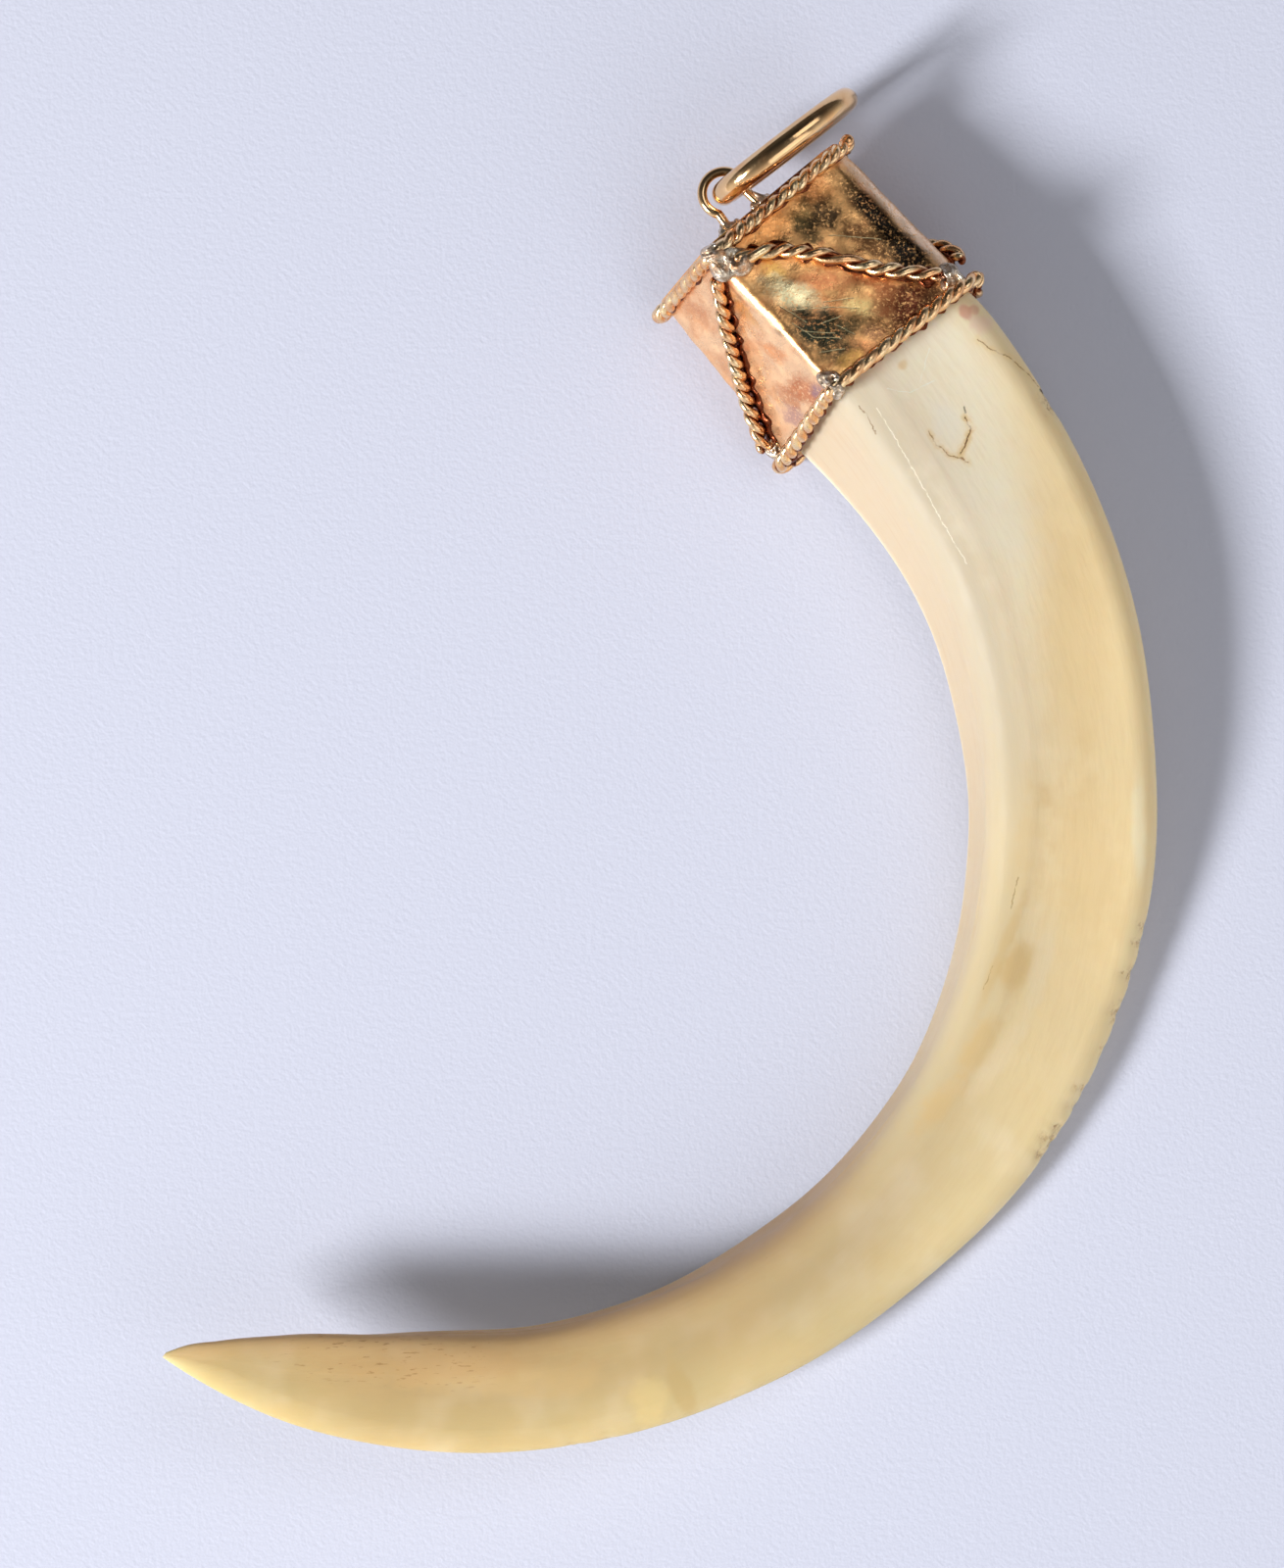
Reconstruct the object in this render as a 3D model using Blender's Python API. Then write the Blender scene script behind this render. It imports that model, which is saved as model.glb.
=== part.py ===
"""A boar's tusk mounted as a pendant: the tusk, a three-sided sheet-metal cap with a top plate,
twisted wire trim, a wire eyelet and a hanging ring that swings in it.

The pendant lies on its side on the plane z = 0, with the tusk's curve in plan.
Lengths in the constants are millimetres; the meshes are written in metres.
"""

import math

import bmesh
import bpy
import numpy as np

MM = 0.001

# The cap's own frame: its axis runs from the top plate to the mouth, heading down and to the
# right in plan and rising a little, because the mouth is the wider end. The fold is the edge
# between the cap's front face and its side face.
MOUTH_FOLD = (13.11, 29.11, 12.49)
CAP_HEADING = math.radians(-49.0)
CAP_RISE = math.radians(4.0)

# Tusk: plan radius of the outer edge, along its length from the cap's mouth to the tip
OUTER_EDGE_ARC = (0.0, 30.0, 60.0, 90.0, 120.0, 147.0)
OUTER_EDGE_RADIUS = (52.0, 64.0, 43.0, 62.0, 47.0, 37.0)
OUTER_EDGE_START = (2.1, 12.85)
ROOT_DEPTH = 14.8
ROOT_SHRINK = (0.15, 0.22)

# Tusk section by arc length: width, ridge's distance from the inner side, ridge height,
# height and thickness of the outer edge, and height of the inner side's lower corner
TUSK_SECTIONS = (
    (0.0, 18.35, 5.60, 12.00, 7.10, 3.20, 1.95),
    (10.0, 17.40, 4.40, 11.60, 6.60, 3.30, 1.90),
    (20.0, 16.40, 3.70, 11.10, 6.10, 3.40, 1.80),
    (30.0, 15.50, 2.90, 10.50, 5.40, 3.40, 1.60),
    (40.0, 15.00, 2.50, 9.80, 4.30, 3.30, 1.20),
    (50.0, 14.60, 2.30, 9.10, 2.45, 3.20, 0.75),
    (57.0, 14.10, 2.20, 8.70, 1.60, 3.10, 0.45),
    (65.0, 13.40, 2.00, 8.30, 1.52, 3.00, 0.35),
    (75.0, 12.40, 1.80, 8.20, 1.42, 2.80, 0.45),
    (83.0, 11.70, 1.80, 8.50, 1.60, 2.70, 1.00),
    (100.0, 10.60, 1.50, 10.00, 4.40, 2.50, 3.50),
    (115.0, 9.85, 0.90, 11.30, 6.80, 2.30, 5.70),
    (130.0, 8.55, 0.30, 11.60, 8.60, 2.10, 7.40),
    (139.0, 5.90, 0.15, 11.25, 9.40, 1.70, 8.50),
    (144.0, 3.45, 0.10, 10.90, 9.90, 1.10, 9.30),
    (147.0, 0.40, 0.05, 10.40, 10.20, 0.25, 10.00),
)
# How far each corner's rounding reaches along its sides: ridge, edge top, edge foot, keel
CORNER_REACH = (3.0, 1.9, 1.5, 2.0)
TUSK_RINGS = 58
CORNER_POINTS = 5
SIDE_BULGE = 0.02

# Cap sleeve: the fold lines' places at the mouth and at the top, across and up from the fold
SHEET = 0.35
SLEEVE_FROM = -14.0
SLEEVE_TO = 0.3
MOUTH_SKEW = 0.09
MOUTH_FOLDS = ((0.0, 0.0), (12.0, -3.2), (13.4, -4.6), (12.8, -7.8), (-4.9, -11.3), (-6.15, -10.05))
TOP_FOLDS = ((-0.3, -0.4), (11.3, -3.4), (12.6, -4.7), (12.05, -7.2), (-4.3, -10.3), (-5.5, -9.2))

# Top plate, and the gap left at each soldered joint
PLATE_THICKNESS = 0.45
JOINT_GAP = 0.12

# Twisted wire: two strands that overlap into one body
STRAND_RADIUS = 0.32
STRAND_OFFSET = 0.30
ROPE_PITCH = 3.2
ROPE_STEPS_PER_TURN = 6
ROPE_STANDOFF = STRAND_RADIUS + STRAND_OFFSET + JOINT_GAP
CORNER_BEND = 0.9
RIM_END_SHARE = 0.2
TOP_ROPE_AT = -13.75
MOUTH_ROPE_AT = 0.1

# Eyelet on the plate, and the ring that hangs in it
EYELET_CENTRE = (-17.2, 3.6, -4.5)
EYELET_WIRE = 0.75
EYELET_HOLE = 2.6
EYELET_LEG_ANGLE = math.radians(125.0)
EYELET_FOOT_SPREAD = 1.55
RING_LENGTH = 13.6
RING_HEIGHT = 9.6
RING_WIRE = 1.9
RING_HEADING = math.radians(37.5)
RING_STEPS = 36

PART = "tusk_pendant"


def new_material(name, colour, roughness, metallic):
    """A Principled material with one colour."""
    material = bpy.data.materials.new(name)
    material.use_nodes = True
    shader = material.node_tree.nodes["Principled BSDF"]
    shader.inputs["Base Color"].default_value = (*colour, 1.0)
    shader.inputs["Roughness"].default_value = roughness
    shader.inputs["Metallic"].default_value = metallic
    return material


def add_object(name, mesh, collection, material, smooth=35.0):
    """Links one named piece, shaded smooth up to the given angle in degrees."""
    piece = bpy.data.objects.new(name, mesh)
    collection.objects.link(piece)
    mesh.materials.append(material)
    mesh.shade_smooth()
    mesh.set_sharp_from_angle(angle=math.radians(smooth))
    return piece


def unit(vectors):
    """Vectors over their own lengths."""
    return vectors / np.linalg.norm(vectors, axis=-1, keepdims=True)


def cap_axes():
    """The cap frame's three directions: along to the mouth, across, and up from the fold."""
    level = np.array((math.cos(CAP_HEADING), math.sin(CAP_HEADING), 0.0))
    across = np.array((-math.sin(CAP_HEADING), math.cos(CAP_HEADING), 0.0))
    along = level * math.cos(CAP_RISE) + np.array((0.0, 0.0, math.sin(CAP_RISE)))
    return along, across, np.cross(along, across)


def from_cap(points):
    """Points given along, across and up in the cap's frame, as world millimetres."""
    return np.array(MOUTH_FOLD) + np.asarray(points, float) @ np.array(cap_axes())


def smooth_curve(at, stations, values):
    """A cubic through the values at the stations, with slopes taken from their neighbours."""
    stations = np.asarray(stations, float)
    values = np.asarray(values, float)
    slopes = np.gradient(values, stations, axis=0)
    low = np.clip(np.searchsorted(stations, at) - 1, 0, len(stations) - 2)
    span = stations[low + 1] - stations[low]
    x = (at - stations[low]) / span
    if values.ndim > 1:
        span = span[:, None]
        x = x[:, None]
    start = (1 + 2 * x) * (1 - x) ** 2 * values[low] + x * (1 - x) ** 2 * span * slopes[low]
    end = x * x * (3 - 2 * x) * values[low + 1] + x * x * (x - 1) * span * slopes[low + 1]
    return start + end


def outer_edge(arc):
    """Plan points and headings of the tusk's outer edge: the heading turns by 1 / radius."""
    fine = np.linspace(0.0, OUTER_EDGE_ARC[-1], 1471)
    bend = np.interp(fine, OUTER_EDGE_ARC, -1.0 / np.array(OUTER_EDGE_RADIUS))
    step = np.diff(fine)
    heading = CAP_HEADING + np.concatenate(([0.0], np.cumsum((bend[1:] + bend[:-1]) / 2 * step)))
    runs = np.stack((np.cos(heading), np.sin(heading)), axis=1)
    path = np.concatenate((np.zeros((1, 2)), np.cumsum((runs[1:] + runs[:-1]) / 2 * step[:, None], axis=0)))
    path += from_cap((*OUTER_EDGE_START, 0.0))[:2]
    inside = np.minimum(arc, 0.0)
    x = np.interp(arc, fine, path[:, 0]) + inside * math.cos(CAP_HEADING)
    y = np.interp(arc, fine, path[:, 1]) + inside * math.sin(CAP_HEADING)
    return np.stack((x, y), axis=1), np.interp(arc, fine, heading)


def section_corners(arc):
    """The section's four corners at each arc length, as distance from the outer edge and height."""
    table = np.array(TUSK_SECTIONS)
    width, inset, ridge, edge, thick, keel = smooth_curve(arc, table[:, 0], table[:, 1:]).T
    across = np.stack((width - inset, 0 * width, 0 * width, width), axis=1)
    height = np.stack((ridge, edge + thick / 2, edge - thick / 2, keel), axis=1)
    return np.stack((across, height), axis=2)


def rounded_sections(corners, reach, points):
    """Closed outlines: a quadratic arc at each corner, and a point a little proud on each side."""
    before = np.roll(corners, 1, axis=1)
    after = np.roll(corners, -1, axis=1)
    reach = np.array(reach)[None, :, None]
    back = np.linalg.norm(before - corners, axis=2, keepdims=True)
    ahead = np.linalg.norm(after - corners, axis=2, keepdims=True)
    starts = corners + (before - corners) / back * np.minimum(reach, 0.42 * back)
    ends = corners + (after - corners) / ahead * np.minimum(reach, 0.42 * ahead)
    t = np.linspace(0.0, 1.0, points)[None, None, :, None]
    arcs = (1 - t) ** 2 * starts[:, :, None] + t * t * ends[:, :, None]
    arcs = arcs + 2 * t * (1 - t) * corners[:, :, None]
    chord = np.roll(starts, -1, axis=1) - ends
    proud = np.stack((-chord[..., 1], chord[..., 0]), axis=-1) * SIDE_BULGE
    middle = (ends + chord / 2 + proud)[:, :, None]
    outline = np.concatenate((arcs, middle), axis=2)
    return outline.reshape(len(corners), -1, 2)


def loft(rings, close_ends=True):
    """Faces joining rings of equal point count, in order, with a point in the middle of each end."""
    count, around = rings.shape[:2]
    verts = rings.reshape(-1, 3)
    low = np.arange(count - 1)[:, None] * around + np.arange(around)[None]
    low_next = np.arange(count - 1)[:, None] * around + (np.arange(around)[None] + 1) % around
    faces = np.stack((low, low_next, low_next + around, low + around), axis=2).reshape(-1, 4).tolist()
    if close_ends:
        verts = np.concatenate((verts, rings[:1].mean(axis=1), rings[-1:].mean(axis=1)))
        first = len(verts) - 2
        last = len(verts) - 1
        top = (count - 1) * around
        faces += [(first, (i + 1) % around, i) for i in range(around)]
        faces += [(last, top + i, top + (i + 1) % around) for i in range(around)]
    return verts, faces


def mesh_from(name, verts, faces):
    """A mesh in metres with its faces turned outwards."""
    mesh = bpy.data.meshes.new(name)
    mesh.from_pydata((np.asarray(verts) * MM).tolist(), [], faces)
    work = bmesh.new()
    work.from_mesh(mesh)
    bmesh.ops.recalc_face_normals(work, faces=work.faces)
    work.to_mesh(mesh)
    work.free()
    return mesh


def root_sections(first, depth):
    """The first outline carried back into the cap, shrinking and sinking with the cap's axis."""
    middle = (first.min(axis=0) + first.max(axis=0)) / 2
    share = (depth / ROOT_DEPTH)[:, None, None]
    outline = middle + (first - middle) * (1 - np.array(ROOT_SHRINK) * share)
    outline[..., 1] -= depth[:, None] * math.tan(CAP_RISE)
    return outline


def make_tusk(collection, ivory):
    """The tusk, from its root inside the cap to the tip: rounded sections along the outer edge."""
    blade = np.linspace(0.0, OUTER_EDGE_ARC[-1], TUSK_RINGS)
    outline = rounded_sections(section_corners(blade), CORNER_REACH, CORNER_POINTS)
    outline[..., 0] -= outline[..., 0].min(axis=1, keepdims=True)
    depth = np.linspace(ROOT_DEPTH, 2.0, 4)
    outline = np.concatenate((root_sections(outline[0], depth), outline))
    edge, heading = outer_edge(np.concatenate((-depth, blade)))
    inward = np.stack((np.sin(heading), -np.cos(heading)), axis=1)
    plan = edge[:, None] + outline[..., :1] * inward[:, None]
    rings = np.concatenate((plan, outline[..., 1:]), axis=2)
    verts, faces = loft(rings)
    return add_object("tusk", mesh_from("tusk", verts, faces), collection, ivory)


def polygon_at(along):
    """The sleeve's fold points at a distance along the cap's axis."""
    share = (along - SLEEVE_FROM) / (0.0 - SLEEVE_FROM)
    return np.array(TOP_FOLDS) + (np.array(MOUTH_FOLDS) - np.array(TOP_FOLDS)) * share


def offset_polygon(points, distance):
    """A clockwise outline moved outwards by a distance, its corners kept sharp."""
    before = unit(points - np.roll(points, 1, axis=0))
    after = unit(np.roll(points, -1, axis=0) - points)
    normal_before = np.stack((-before[:, 1], before[:, 0]), axis=1)
    normal_after = np.stack((-after[:, 1], after[:, 0]), axis=1)
    middle = unit(normal_before + normal_after)
    return points + middle * (distance / (middle * normal_before).sum(axis=1, keepdims=True))


def in_plane(points, along, skew=0.0):
    """Outline points at one distance along the cap's axis, reaching further the lower they are."""
    return from_cap(np.column_stack((along - skew * points[:, 1], points)))


def make_sleeve(collection, metal):
    """The folded sheet, open at both ends: an outer and an inner wall joined at the two rims."""
    outer_top = polygon_at(SLEEVE_FROM)
    outer_mouth = polygon_at(SLEEVE_TO)
    rings = np.stack((
        in_plane(outer_top, SLEEVE_FROM),
        in_plane(outer_mouth, SLEEVE_TO, MOUTH_SKEW),
        in_plane(offset_polygon(outer_mouth, -SHEET), SLEEVE_TO, MOUTH_SKEW),
        in_plane(offset_polygon(outer_top, -SHEET), SLEEVE_FROM),
        in_plane(outer_top, SLEEVE_FROM),
    ))
    verts, faces = loft(rings, close_ends=False)
    mesh = mesh_from("cap_sleeve", verts, faces)
    work = bmesh.new()
    work.from_mesh(mesh)
    bmesh.ops.remove_doubles(work, verts=work.verts, dist=0.00001)
    bmesh.ops.recalc_face_normals(work, faces=work.faces)
    work.to_mesh(mesh)
    work.free()
    return add_object("cap_sleeve", mesh, collection, metal, smooth=10.0)


def make_plate(collection, metal):
    """The flat plate soldered over the sleeve's top."""
    outline = polygon_at(SLEEVE_FROM)
    near = SLEEVE_FROM - JOINT_GAP
    rings = np.stack((in_plane(outline, near), in_plane(outline, near - PLATE_THICKNESS)))
    count = len(outline)
    verts, faces = loft(rings, close_ends=False)
    faces += [list(range(count)), list(range(count, 2 * count))]
    mesh = mesh_from("cap_top_plate", verts, faces)
    return add_object("cap_top_plate", mesh, collection, metal, smooth=10.0)


def rounded_path(points, bend):
    """An open path with a short arc in place of each corner."""
    rows = [points[0]]
    for before, corner, after in zip(points[:-2], points[1:-1], points[2:]):
        back = before - corner
        ahead = after - corner
        start = corner + unit(back) * min(bend, 0.45 * np.linalg.norm(back))
        end = corner + unit(ahead) * min(bend, 0.45 * np.linalg.norm(ahead))
        for t in np.linspace(0.0, 1.0, 5):
            rows.append((1 - t) ** 2 * start + 2 * t * (1 - t) * corner + t * t * end)
    rows.append(points[-1])
    return np.array(rows)


def evenly(path, step):
    """The path read again at equal steps."""
    length = np.concatenate(([0.0], np.cumsum(np.linalg.norm(np.diff(path, axis=0), axis=1))))
    count = int(round(length[-1] / step)) + 1
    at = np.linspace(0.0, length[-1], count)
    return np.stack([np.interp(at, length, path[:, k]) for k in range(path.shape[1])], axis=1), at


def strand_outline():
    """The outline of two round strands side by side: lobes left and right, a waist between."""
    lobe = STRAND_OFFSET + STRAND_RADIUS
    waist = 0.5 * STRAND_RADIUS
    return np.array((
        (lobe, 0.0), (STRAND_OFFSET, STRAND_RADIUS), (0.0, waist), (-STRAND_OFFSET, STRAND_RADIUS),
        (-lobe, 0.0), (-STRAND_OFFSET, -STRAND_RADIUS), (0.0, -waist), (STRAND_OFFSET, -STRAND_RADIUS),
    ))


def make_rope(name, path, collection, metal):
    """Twisted wire: the strands' outline carried along the path, turning once a pitch."""
    points, at = evenly(path, ROPE_PITCH / ROPE_STEPS_PER_TURN)
    tangent = unit(np.gradient(points, axis=0))
    axis = cap_axes()[0]
    side = unit(np.cross(tangent, axis))
    other = np.cross(side, tangent)
    angle = (2 * math.pi * at / ROPE_PITCH)[:, None]
    outline = strand_outline()
    a = outline[None, :, 0] * np.cos(angle) - outline[None, :, 1] * np.sin(angle)
    b = outline[None, :, 0] * np.sin(angle) + outline[None, :, 1] * np.cos(angle)
    rings = points[:, None] + a[..., None] * side[:, None] + b[..., None] * other[:, None]
    verts, faces = loft(rings)
    return add_object(name, mesh_from(name, verts, faces), collection, metal, smooth=60.0)


def rim_path(along, skew=0.0):
    """Round the sleeve just outside its wall, from the right-hand corner over the front."""
    outline = offset_polygon(polygon_at(along), ROPE_STANDOFF)
    right, fold, keel, foot = outline[2], outline[[1, 0]], outline[[5, 4]], outline[3]
    last = foot + (right - foot) * RIM_END_SHARE
    points = np.concatenate(([right], fold, keel, [foot, last]))
    return in_plane(rounded_path(points, CORNER_BEND), along, skew)


def on_face(points, fold_a, fold_b, standoff):
    """Points given along the cap and as a share of one face's width, lifted off that face."""
    rows = []
    for along, share in points:
        outline = offset_polygon(polygon_at(along), standoff)
        place = outline[fold_a] + (outline[fold_b] - outline[fold_a]) * share
        rows.append((along, place[0], place[1]))
    return rows


def curved_path(rows, count=40):
    """A smooth curve through the rows, in world millimetres."""
    rows = np.array(rows)
    at = np.concatenate(([0.0], np.cumsum(np.linalg.norm(np.diff(rows, axis=0), axis=1))))
    return from_cap(smooth_curve(np.linspace(0.0, at[-1], count), at, rows))


def make_trim(collection, metal):
    """The two rim wires and the three diagonal ones."""
    make_rope("rope_top_rim", rim_path(TOP_ROPE_AT), collection, metal)
    make_rope("rope_mouth_rim", rim_path(MOUTH_ROPE_AT, MOUTH_SKEW), collection, metal)
    front = ((-12.3, 0.10), (-11.2, 0.30), (-8.4, 0.52), (-4.8, 0.72), (-1.3, 0.97))
    front = on_face(front, 0, 1, ROPE_STANDOFF)
    make_rope("rope_front_diagonal", curved_path(front), collection, metal)
    side = ((-12.3, 0.12), (-8.2, 0.50), (-4.3, 0.78), (-0.6, 0.98))
    side = on_face(side, 0, 5, ROPE_STANDOFF)
    make_rope("rope_side_diagonal", curved_path(side), collection, metal)
    back = on_face(((-12.3, 0.92), (-8.0, 0.50), (-4.4, 0.04)), 3, 4, ROPE_STANDOFF)
    back += on_face(((-2.9, 0.5), (-1.3, 0.15)), 2, 3, ROPE_STANDOFF)
    make_rope("rope_back_diagonal", curved_path(back), collection, metal)


def make_wire(name, points, diameter, closed, collection, metal):
    """Round wire along points given in millimetres."""
    curve = bpy.data.curves.new(name, "CURVE")
    curve.dimensions = "3D"
    curve.bevel_depth = diameter / 2 * MM
    curve.bevel_resolution = 3
    curve.use_fill_caps = not closed
    spline = curve.splines.new("POLY")
    spline.points.add(len(points) - 1)
    places = np.column_stack((points * MM, np.ones(len(points))))
    spline.points.foreach_set("co", places.ravel())
    spline.use_cyclic_u = closed
    curve.materials.append(metal)
    piece = bpy.data.objects.new(name, curve)
    collection.objects.link(piece)
    return piece


def make_eyelet(collection, metal):
    """Round wire bent in an open loop, its two legs standing on the plate."""
    radius = (EYELET_HOLE + EYELET_WIRE) / 2
    angles = np.linspace(-EYELET_LEG_ANGLE, EYELET_LEG_ANGLE, 17)
    along, across, up = EYELET_CENTRE
    loop = [(along - radius * math.cos(t), across + radius * math.sin(t), up) for t in angles]
    foot = SLEEVE_FROM - 2 * JOINT_GAP - PLATE_THICKNESS
    left = (foot, across - EYELET_FOOT_SPREAD, up)
    right = (foot, across + EYELET_FOOT_SPREAD, up)
    points = from_cap([left] + loop + [right])
    return make_wire("bail_loop", points, EYELET_WIRE, False, collection, metal)


def make_ring(collection, metal):
    """The oval ring, upright, one end in the eyelet; its parent stands on the swing axis."""
    pivot = bpy.data.objects.new("ring_pivot", None)
    collection.objects.link(pivot)
    pivot.location = from_cap(EYELET_CENTRE) * MM
    pivot.rotation_euler = (0.0, 0.0, RING_HEADING)
    reach = (RING_LENGTH - RING_WIRE) / 2
    rise = (RING_HEIGHT - RING_WIRE) / 2
    turn = np.linspace(0.0, 2 * math.pi, RING_STEPS, endpoint=False)
    oval = np.stack((reach * np.cos(turn), 0 * turn, rise * np.sin(turn)), axis=1)
    ring = make_wire("hanging_ring", oval, RING_WIRE, True, collection, metal)
    ring.parent = pivot
    ring.location = (reach * MM, 0.0, 0.0)
    return ring


def main():
    for obj in list(bpy.data.objects):
        bpy.data.objects.remove(obj, do_unlink=True)
    parts = bpy.data.collections.new(PART)
    bpy.context.scene.collection.children.link(parts)
    ivory = new_material("ivory", (0.76, 0.62, 0.38), 0.32, 0.0)
    sheet_gold = new_material("sheet_gold", (0.83, 0.56, 0.28), 0.25, 1.0)
    rope_gold = new_material("rope_gold", (0.80, 0.50, 0.28), 0.30, 1.0)
    ring_gold = new_material("ring_gold", (0.86, 0.66, 0.36), 0.15, 1.0)
    make_tusk(parts, ivory)
    make_sleeve(parts, sheet_gold)
    make_plate(parts, sheet_gold)
    make_trim(parts, rope_gold)
    make_eyelet(parts, ring_gold)
    make_ring(parts, ring_gold)


main()
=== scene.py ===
import math

import bpy
import numpy as np
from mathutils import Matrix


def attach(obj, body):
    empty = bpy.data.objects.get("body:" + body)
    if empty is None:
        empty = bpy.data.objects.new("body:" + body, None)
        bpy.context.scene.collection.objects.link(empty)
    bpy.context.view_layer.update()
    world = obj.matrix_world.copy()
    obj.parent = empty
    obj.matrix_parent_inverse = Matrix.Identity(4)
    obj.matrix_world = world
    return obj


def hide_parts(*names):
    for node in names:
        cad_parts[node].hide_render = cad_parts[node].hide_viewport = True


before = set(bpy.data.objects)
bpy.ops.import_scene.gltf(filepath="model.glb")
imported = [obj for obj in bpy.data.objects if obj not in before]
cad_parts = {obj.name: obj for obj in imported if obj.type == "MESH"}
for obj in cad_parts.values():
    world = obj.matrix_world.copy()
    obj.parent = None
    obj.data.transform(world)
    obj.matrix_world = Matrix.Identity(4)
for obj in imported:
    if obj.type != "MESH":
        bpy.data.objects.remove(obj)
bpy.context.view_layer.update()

# The tusk
# A boar's lower tusk: dentine under a thin enamel skin, three-cornered with a rounded outer
# edge, bent in a C, its root held in the cap and its tip worn to a point by the upper tusk.
# It is made as rounded sections carried along the outer edge, in millimetres.

MM = 0.001
MOUTH_FOLD = (13.11, 29.11, 12.49)
CAP_HEADING = math.radians(-49.0)
CAP_RISE = math.radians(4.0)
EDGE_ARC = (0.0, 30.0, 60.0, 90.0, 120.0, 147.0)
EDGE_RADIUS = (52.0, 64.0, 43.0, 62.0, 47.0, 37.0)
EDGE_START = (2.1, 12.85)
ROOT_DEPTH = 14.8
ROOT_SHRINK = (0.15, 0.22)
# arc length: width, ridge inset, ridge height, edge height, edge thickness, keel height
TUSK_SECTIONS = (
    (0.0, 18.35, 5.60, 12.00, 7.10, 3.20, 1.95),
    (10.0, 17.40, 4.40, 11.60, 6.60, 3.30, 1.90),
    (20.0, 16.40, 3.70, 11.10, 6.10, 3.40, 1.80),
    (30.0, 15.50, 2.90, 10.50, 5.40, 3.40, 1.60),
    (40.0, 15.00, 2.50, 9.80, 4.30, 3.30, 1.20),
    (50.0, 14.60, 2.30, 9.10, 2.45, 3.20, 0.75),
    (57.0, 14.10, 2.20, 8.70, 1.60, 3.10, 0.45),
    (65.0, 13.40, 2.00, 8.30, 1.52, 3.00, 0.35),
    (75.0, 12.40, 1.80, 8.20, 1.42, 2.80, 0.45),
    (83.0, 11.70, 1.80, 8.50, 1.60, 2.70, 1.00),
    (100.0, 10.60, 1.50, 10.00, 4.40, 2.50, 3.50),
    (115.0, 9.85, 0.90, 11.30, 6.80, 2.30, 5.70),
    (130.0, 8.70, 0.30, 11.60, 8.60, 2.10, 7.40),
    (139.0, 6.20, 0.15, 11.25, 9.40, 1.70, 8.50),
    (144.0, 3.42, 0.10, 10.90, 9.90, 1.10, 9.30),
    (146.3, 1.45, 0.06, 10.55, 10.13, 0.60, 9.80),
    (147.0, 0.45, 0.05, 10.40, 10.20, 0.25, 10.00),
)
CORNER_REACH = (3.0, 1.9, 1.5, 2.0)
CORNER_POINTS = 13
SIDE_POINTS = (40, 5, 38, 26)
SIDE_BULGE = 0.02
SURFACE_WAVE = 0.05
# chips in the outer edge: arc length, half length along the edge, depth
EDGE_CHIPS = (
    (8.8, 0.5, 0.10), (9.9, 0.8, 0.16), (51.3, 0.45, 0.12), (52.6, 0.5, 0.16), (55.1, 0.55, 0.22),
    (58.3, 1.0, 0.16), (61.5, 0.8, 0.08), (64.8, 0.45, 0.14), (66.2, 0.4, 0.14), (68.3, 0.35, 0.20),
    (69.5, 0.55, 0.26), (70.8, 0.4, 0.16), (111.5, 0.6, 0.05), (114.0, 0.7, 0.06),
)


def unit(vectors):
    """Vectors over their own lengths."""
    return vectors / np.linalg.norm(vectors, axis=-1, keepdims=True)


def cap_axes():
    """The cap's directions: along from the plate to the mouth, across, and up from the fold."""
    level = np.array((math.cos(CAP_HEADING), math.sin(CAP_HEADING), 0.0))
    across = np.array((-math.sin(CAP_HEADING), math.cos(CAP_HEADING), 0.0))
    along = level * math.cos(CAP_RISE) + np.array((0.0, 0.0, math.sin(CAP_RISE)))
    return along, across, np.cross(along, across)


def from_cap(points):
    """Points given along, across and up in the cap's frame, as world millimetres."""
    return np.array(MOUTH_FOLD) + np.asarray(points, float) @ np.array(cap_axes())


def smooth_curve(at, stations, values):
    """A cubic through the values at the stations, with slopes taken from their neighbours."""
    stations = np.asarray(stations, float)
    values = np.asarray(values, float)
    slopes = np.gradient(values, stations, axis=0)
    low = np.clip(np.searchsorted(stations, at) - 1, 0, len(stations) - 2)
    span = (stations[low + 1] - stations[low])[:, None]
    x = (at[:, None] - stations[low][:, None]) / span
    start = (1 + 2 * x) * (1 - x) ** 2 * values[low] + x * (1 - x) ** 2 * span * slopes[low]
    end = x * x * (3 - 2 * x) * values[low + 1] + x * x * (x - 1) * span * slopes[low + 1]
    return start + end


def outer_edge(arc):
    """Plan points and headings of the tusk's outer edge: the heading turns by 1 / radius."""
    fine = np.linspace(0.0, EDGE_ARC[-1], 1471)
    bend = np.interp(fine, EDGE_ARC, -1.0 / np.array(EDGE_RADIUS))
    step = np.diff(fine)
    heading = CAP_HEADING + np.concatenate(([0.0], np.cumsum((bend[1:] + bend[:-1]) / 2 * step)))
    runs = np.stack((np.cos(heading), np.sin(heading)), axis=1)
    path = np.concatenate((np.zeros((1, 2)), np.cumsum((runs[1:] + runs[:-1]) / 2 * step[:, None], axis=0)))
    path += from_cap((*EDGE_START, 0.0))[:2]
    inside = np.minimum(arc, 0.0)
    x = np.interp(arc, fine, path[:, 0]) + inside * math.cos(CAP_HEADING)
    y = np.interp(arc, fine, path[:, 1]) + inside * math.sin(CAP_HEADING)
    return np.stack((x, y), axis=1), np.interp(arc, fine, heading)


def section_corners(arc):
    """Ridge, edge top, edge foot and keel at each arc length: distance from the edge, and height."""
    table = np.array(TUSK_SECTIONS)
    width, inset, ridge, edge, thick, keel = smooth_curve(arc, table[:, 0], table[:, 1:]).T
    across = np.stack((width - inset, 0 * width, 0 * width, width), axis=1)
    height = np.stack((ridge, edge + thick / 2, edge - thick / 2, keel), axis=1)
    return np.stack((across, height), axis=2)


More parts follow.
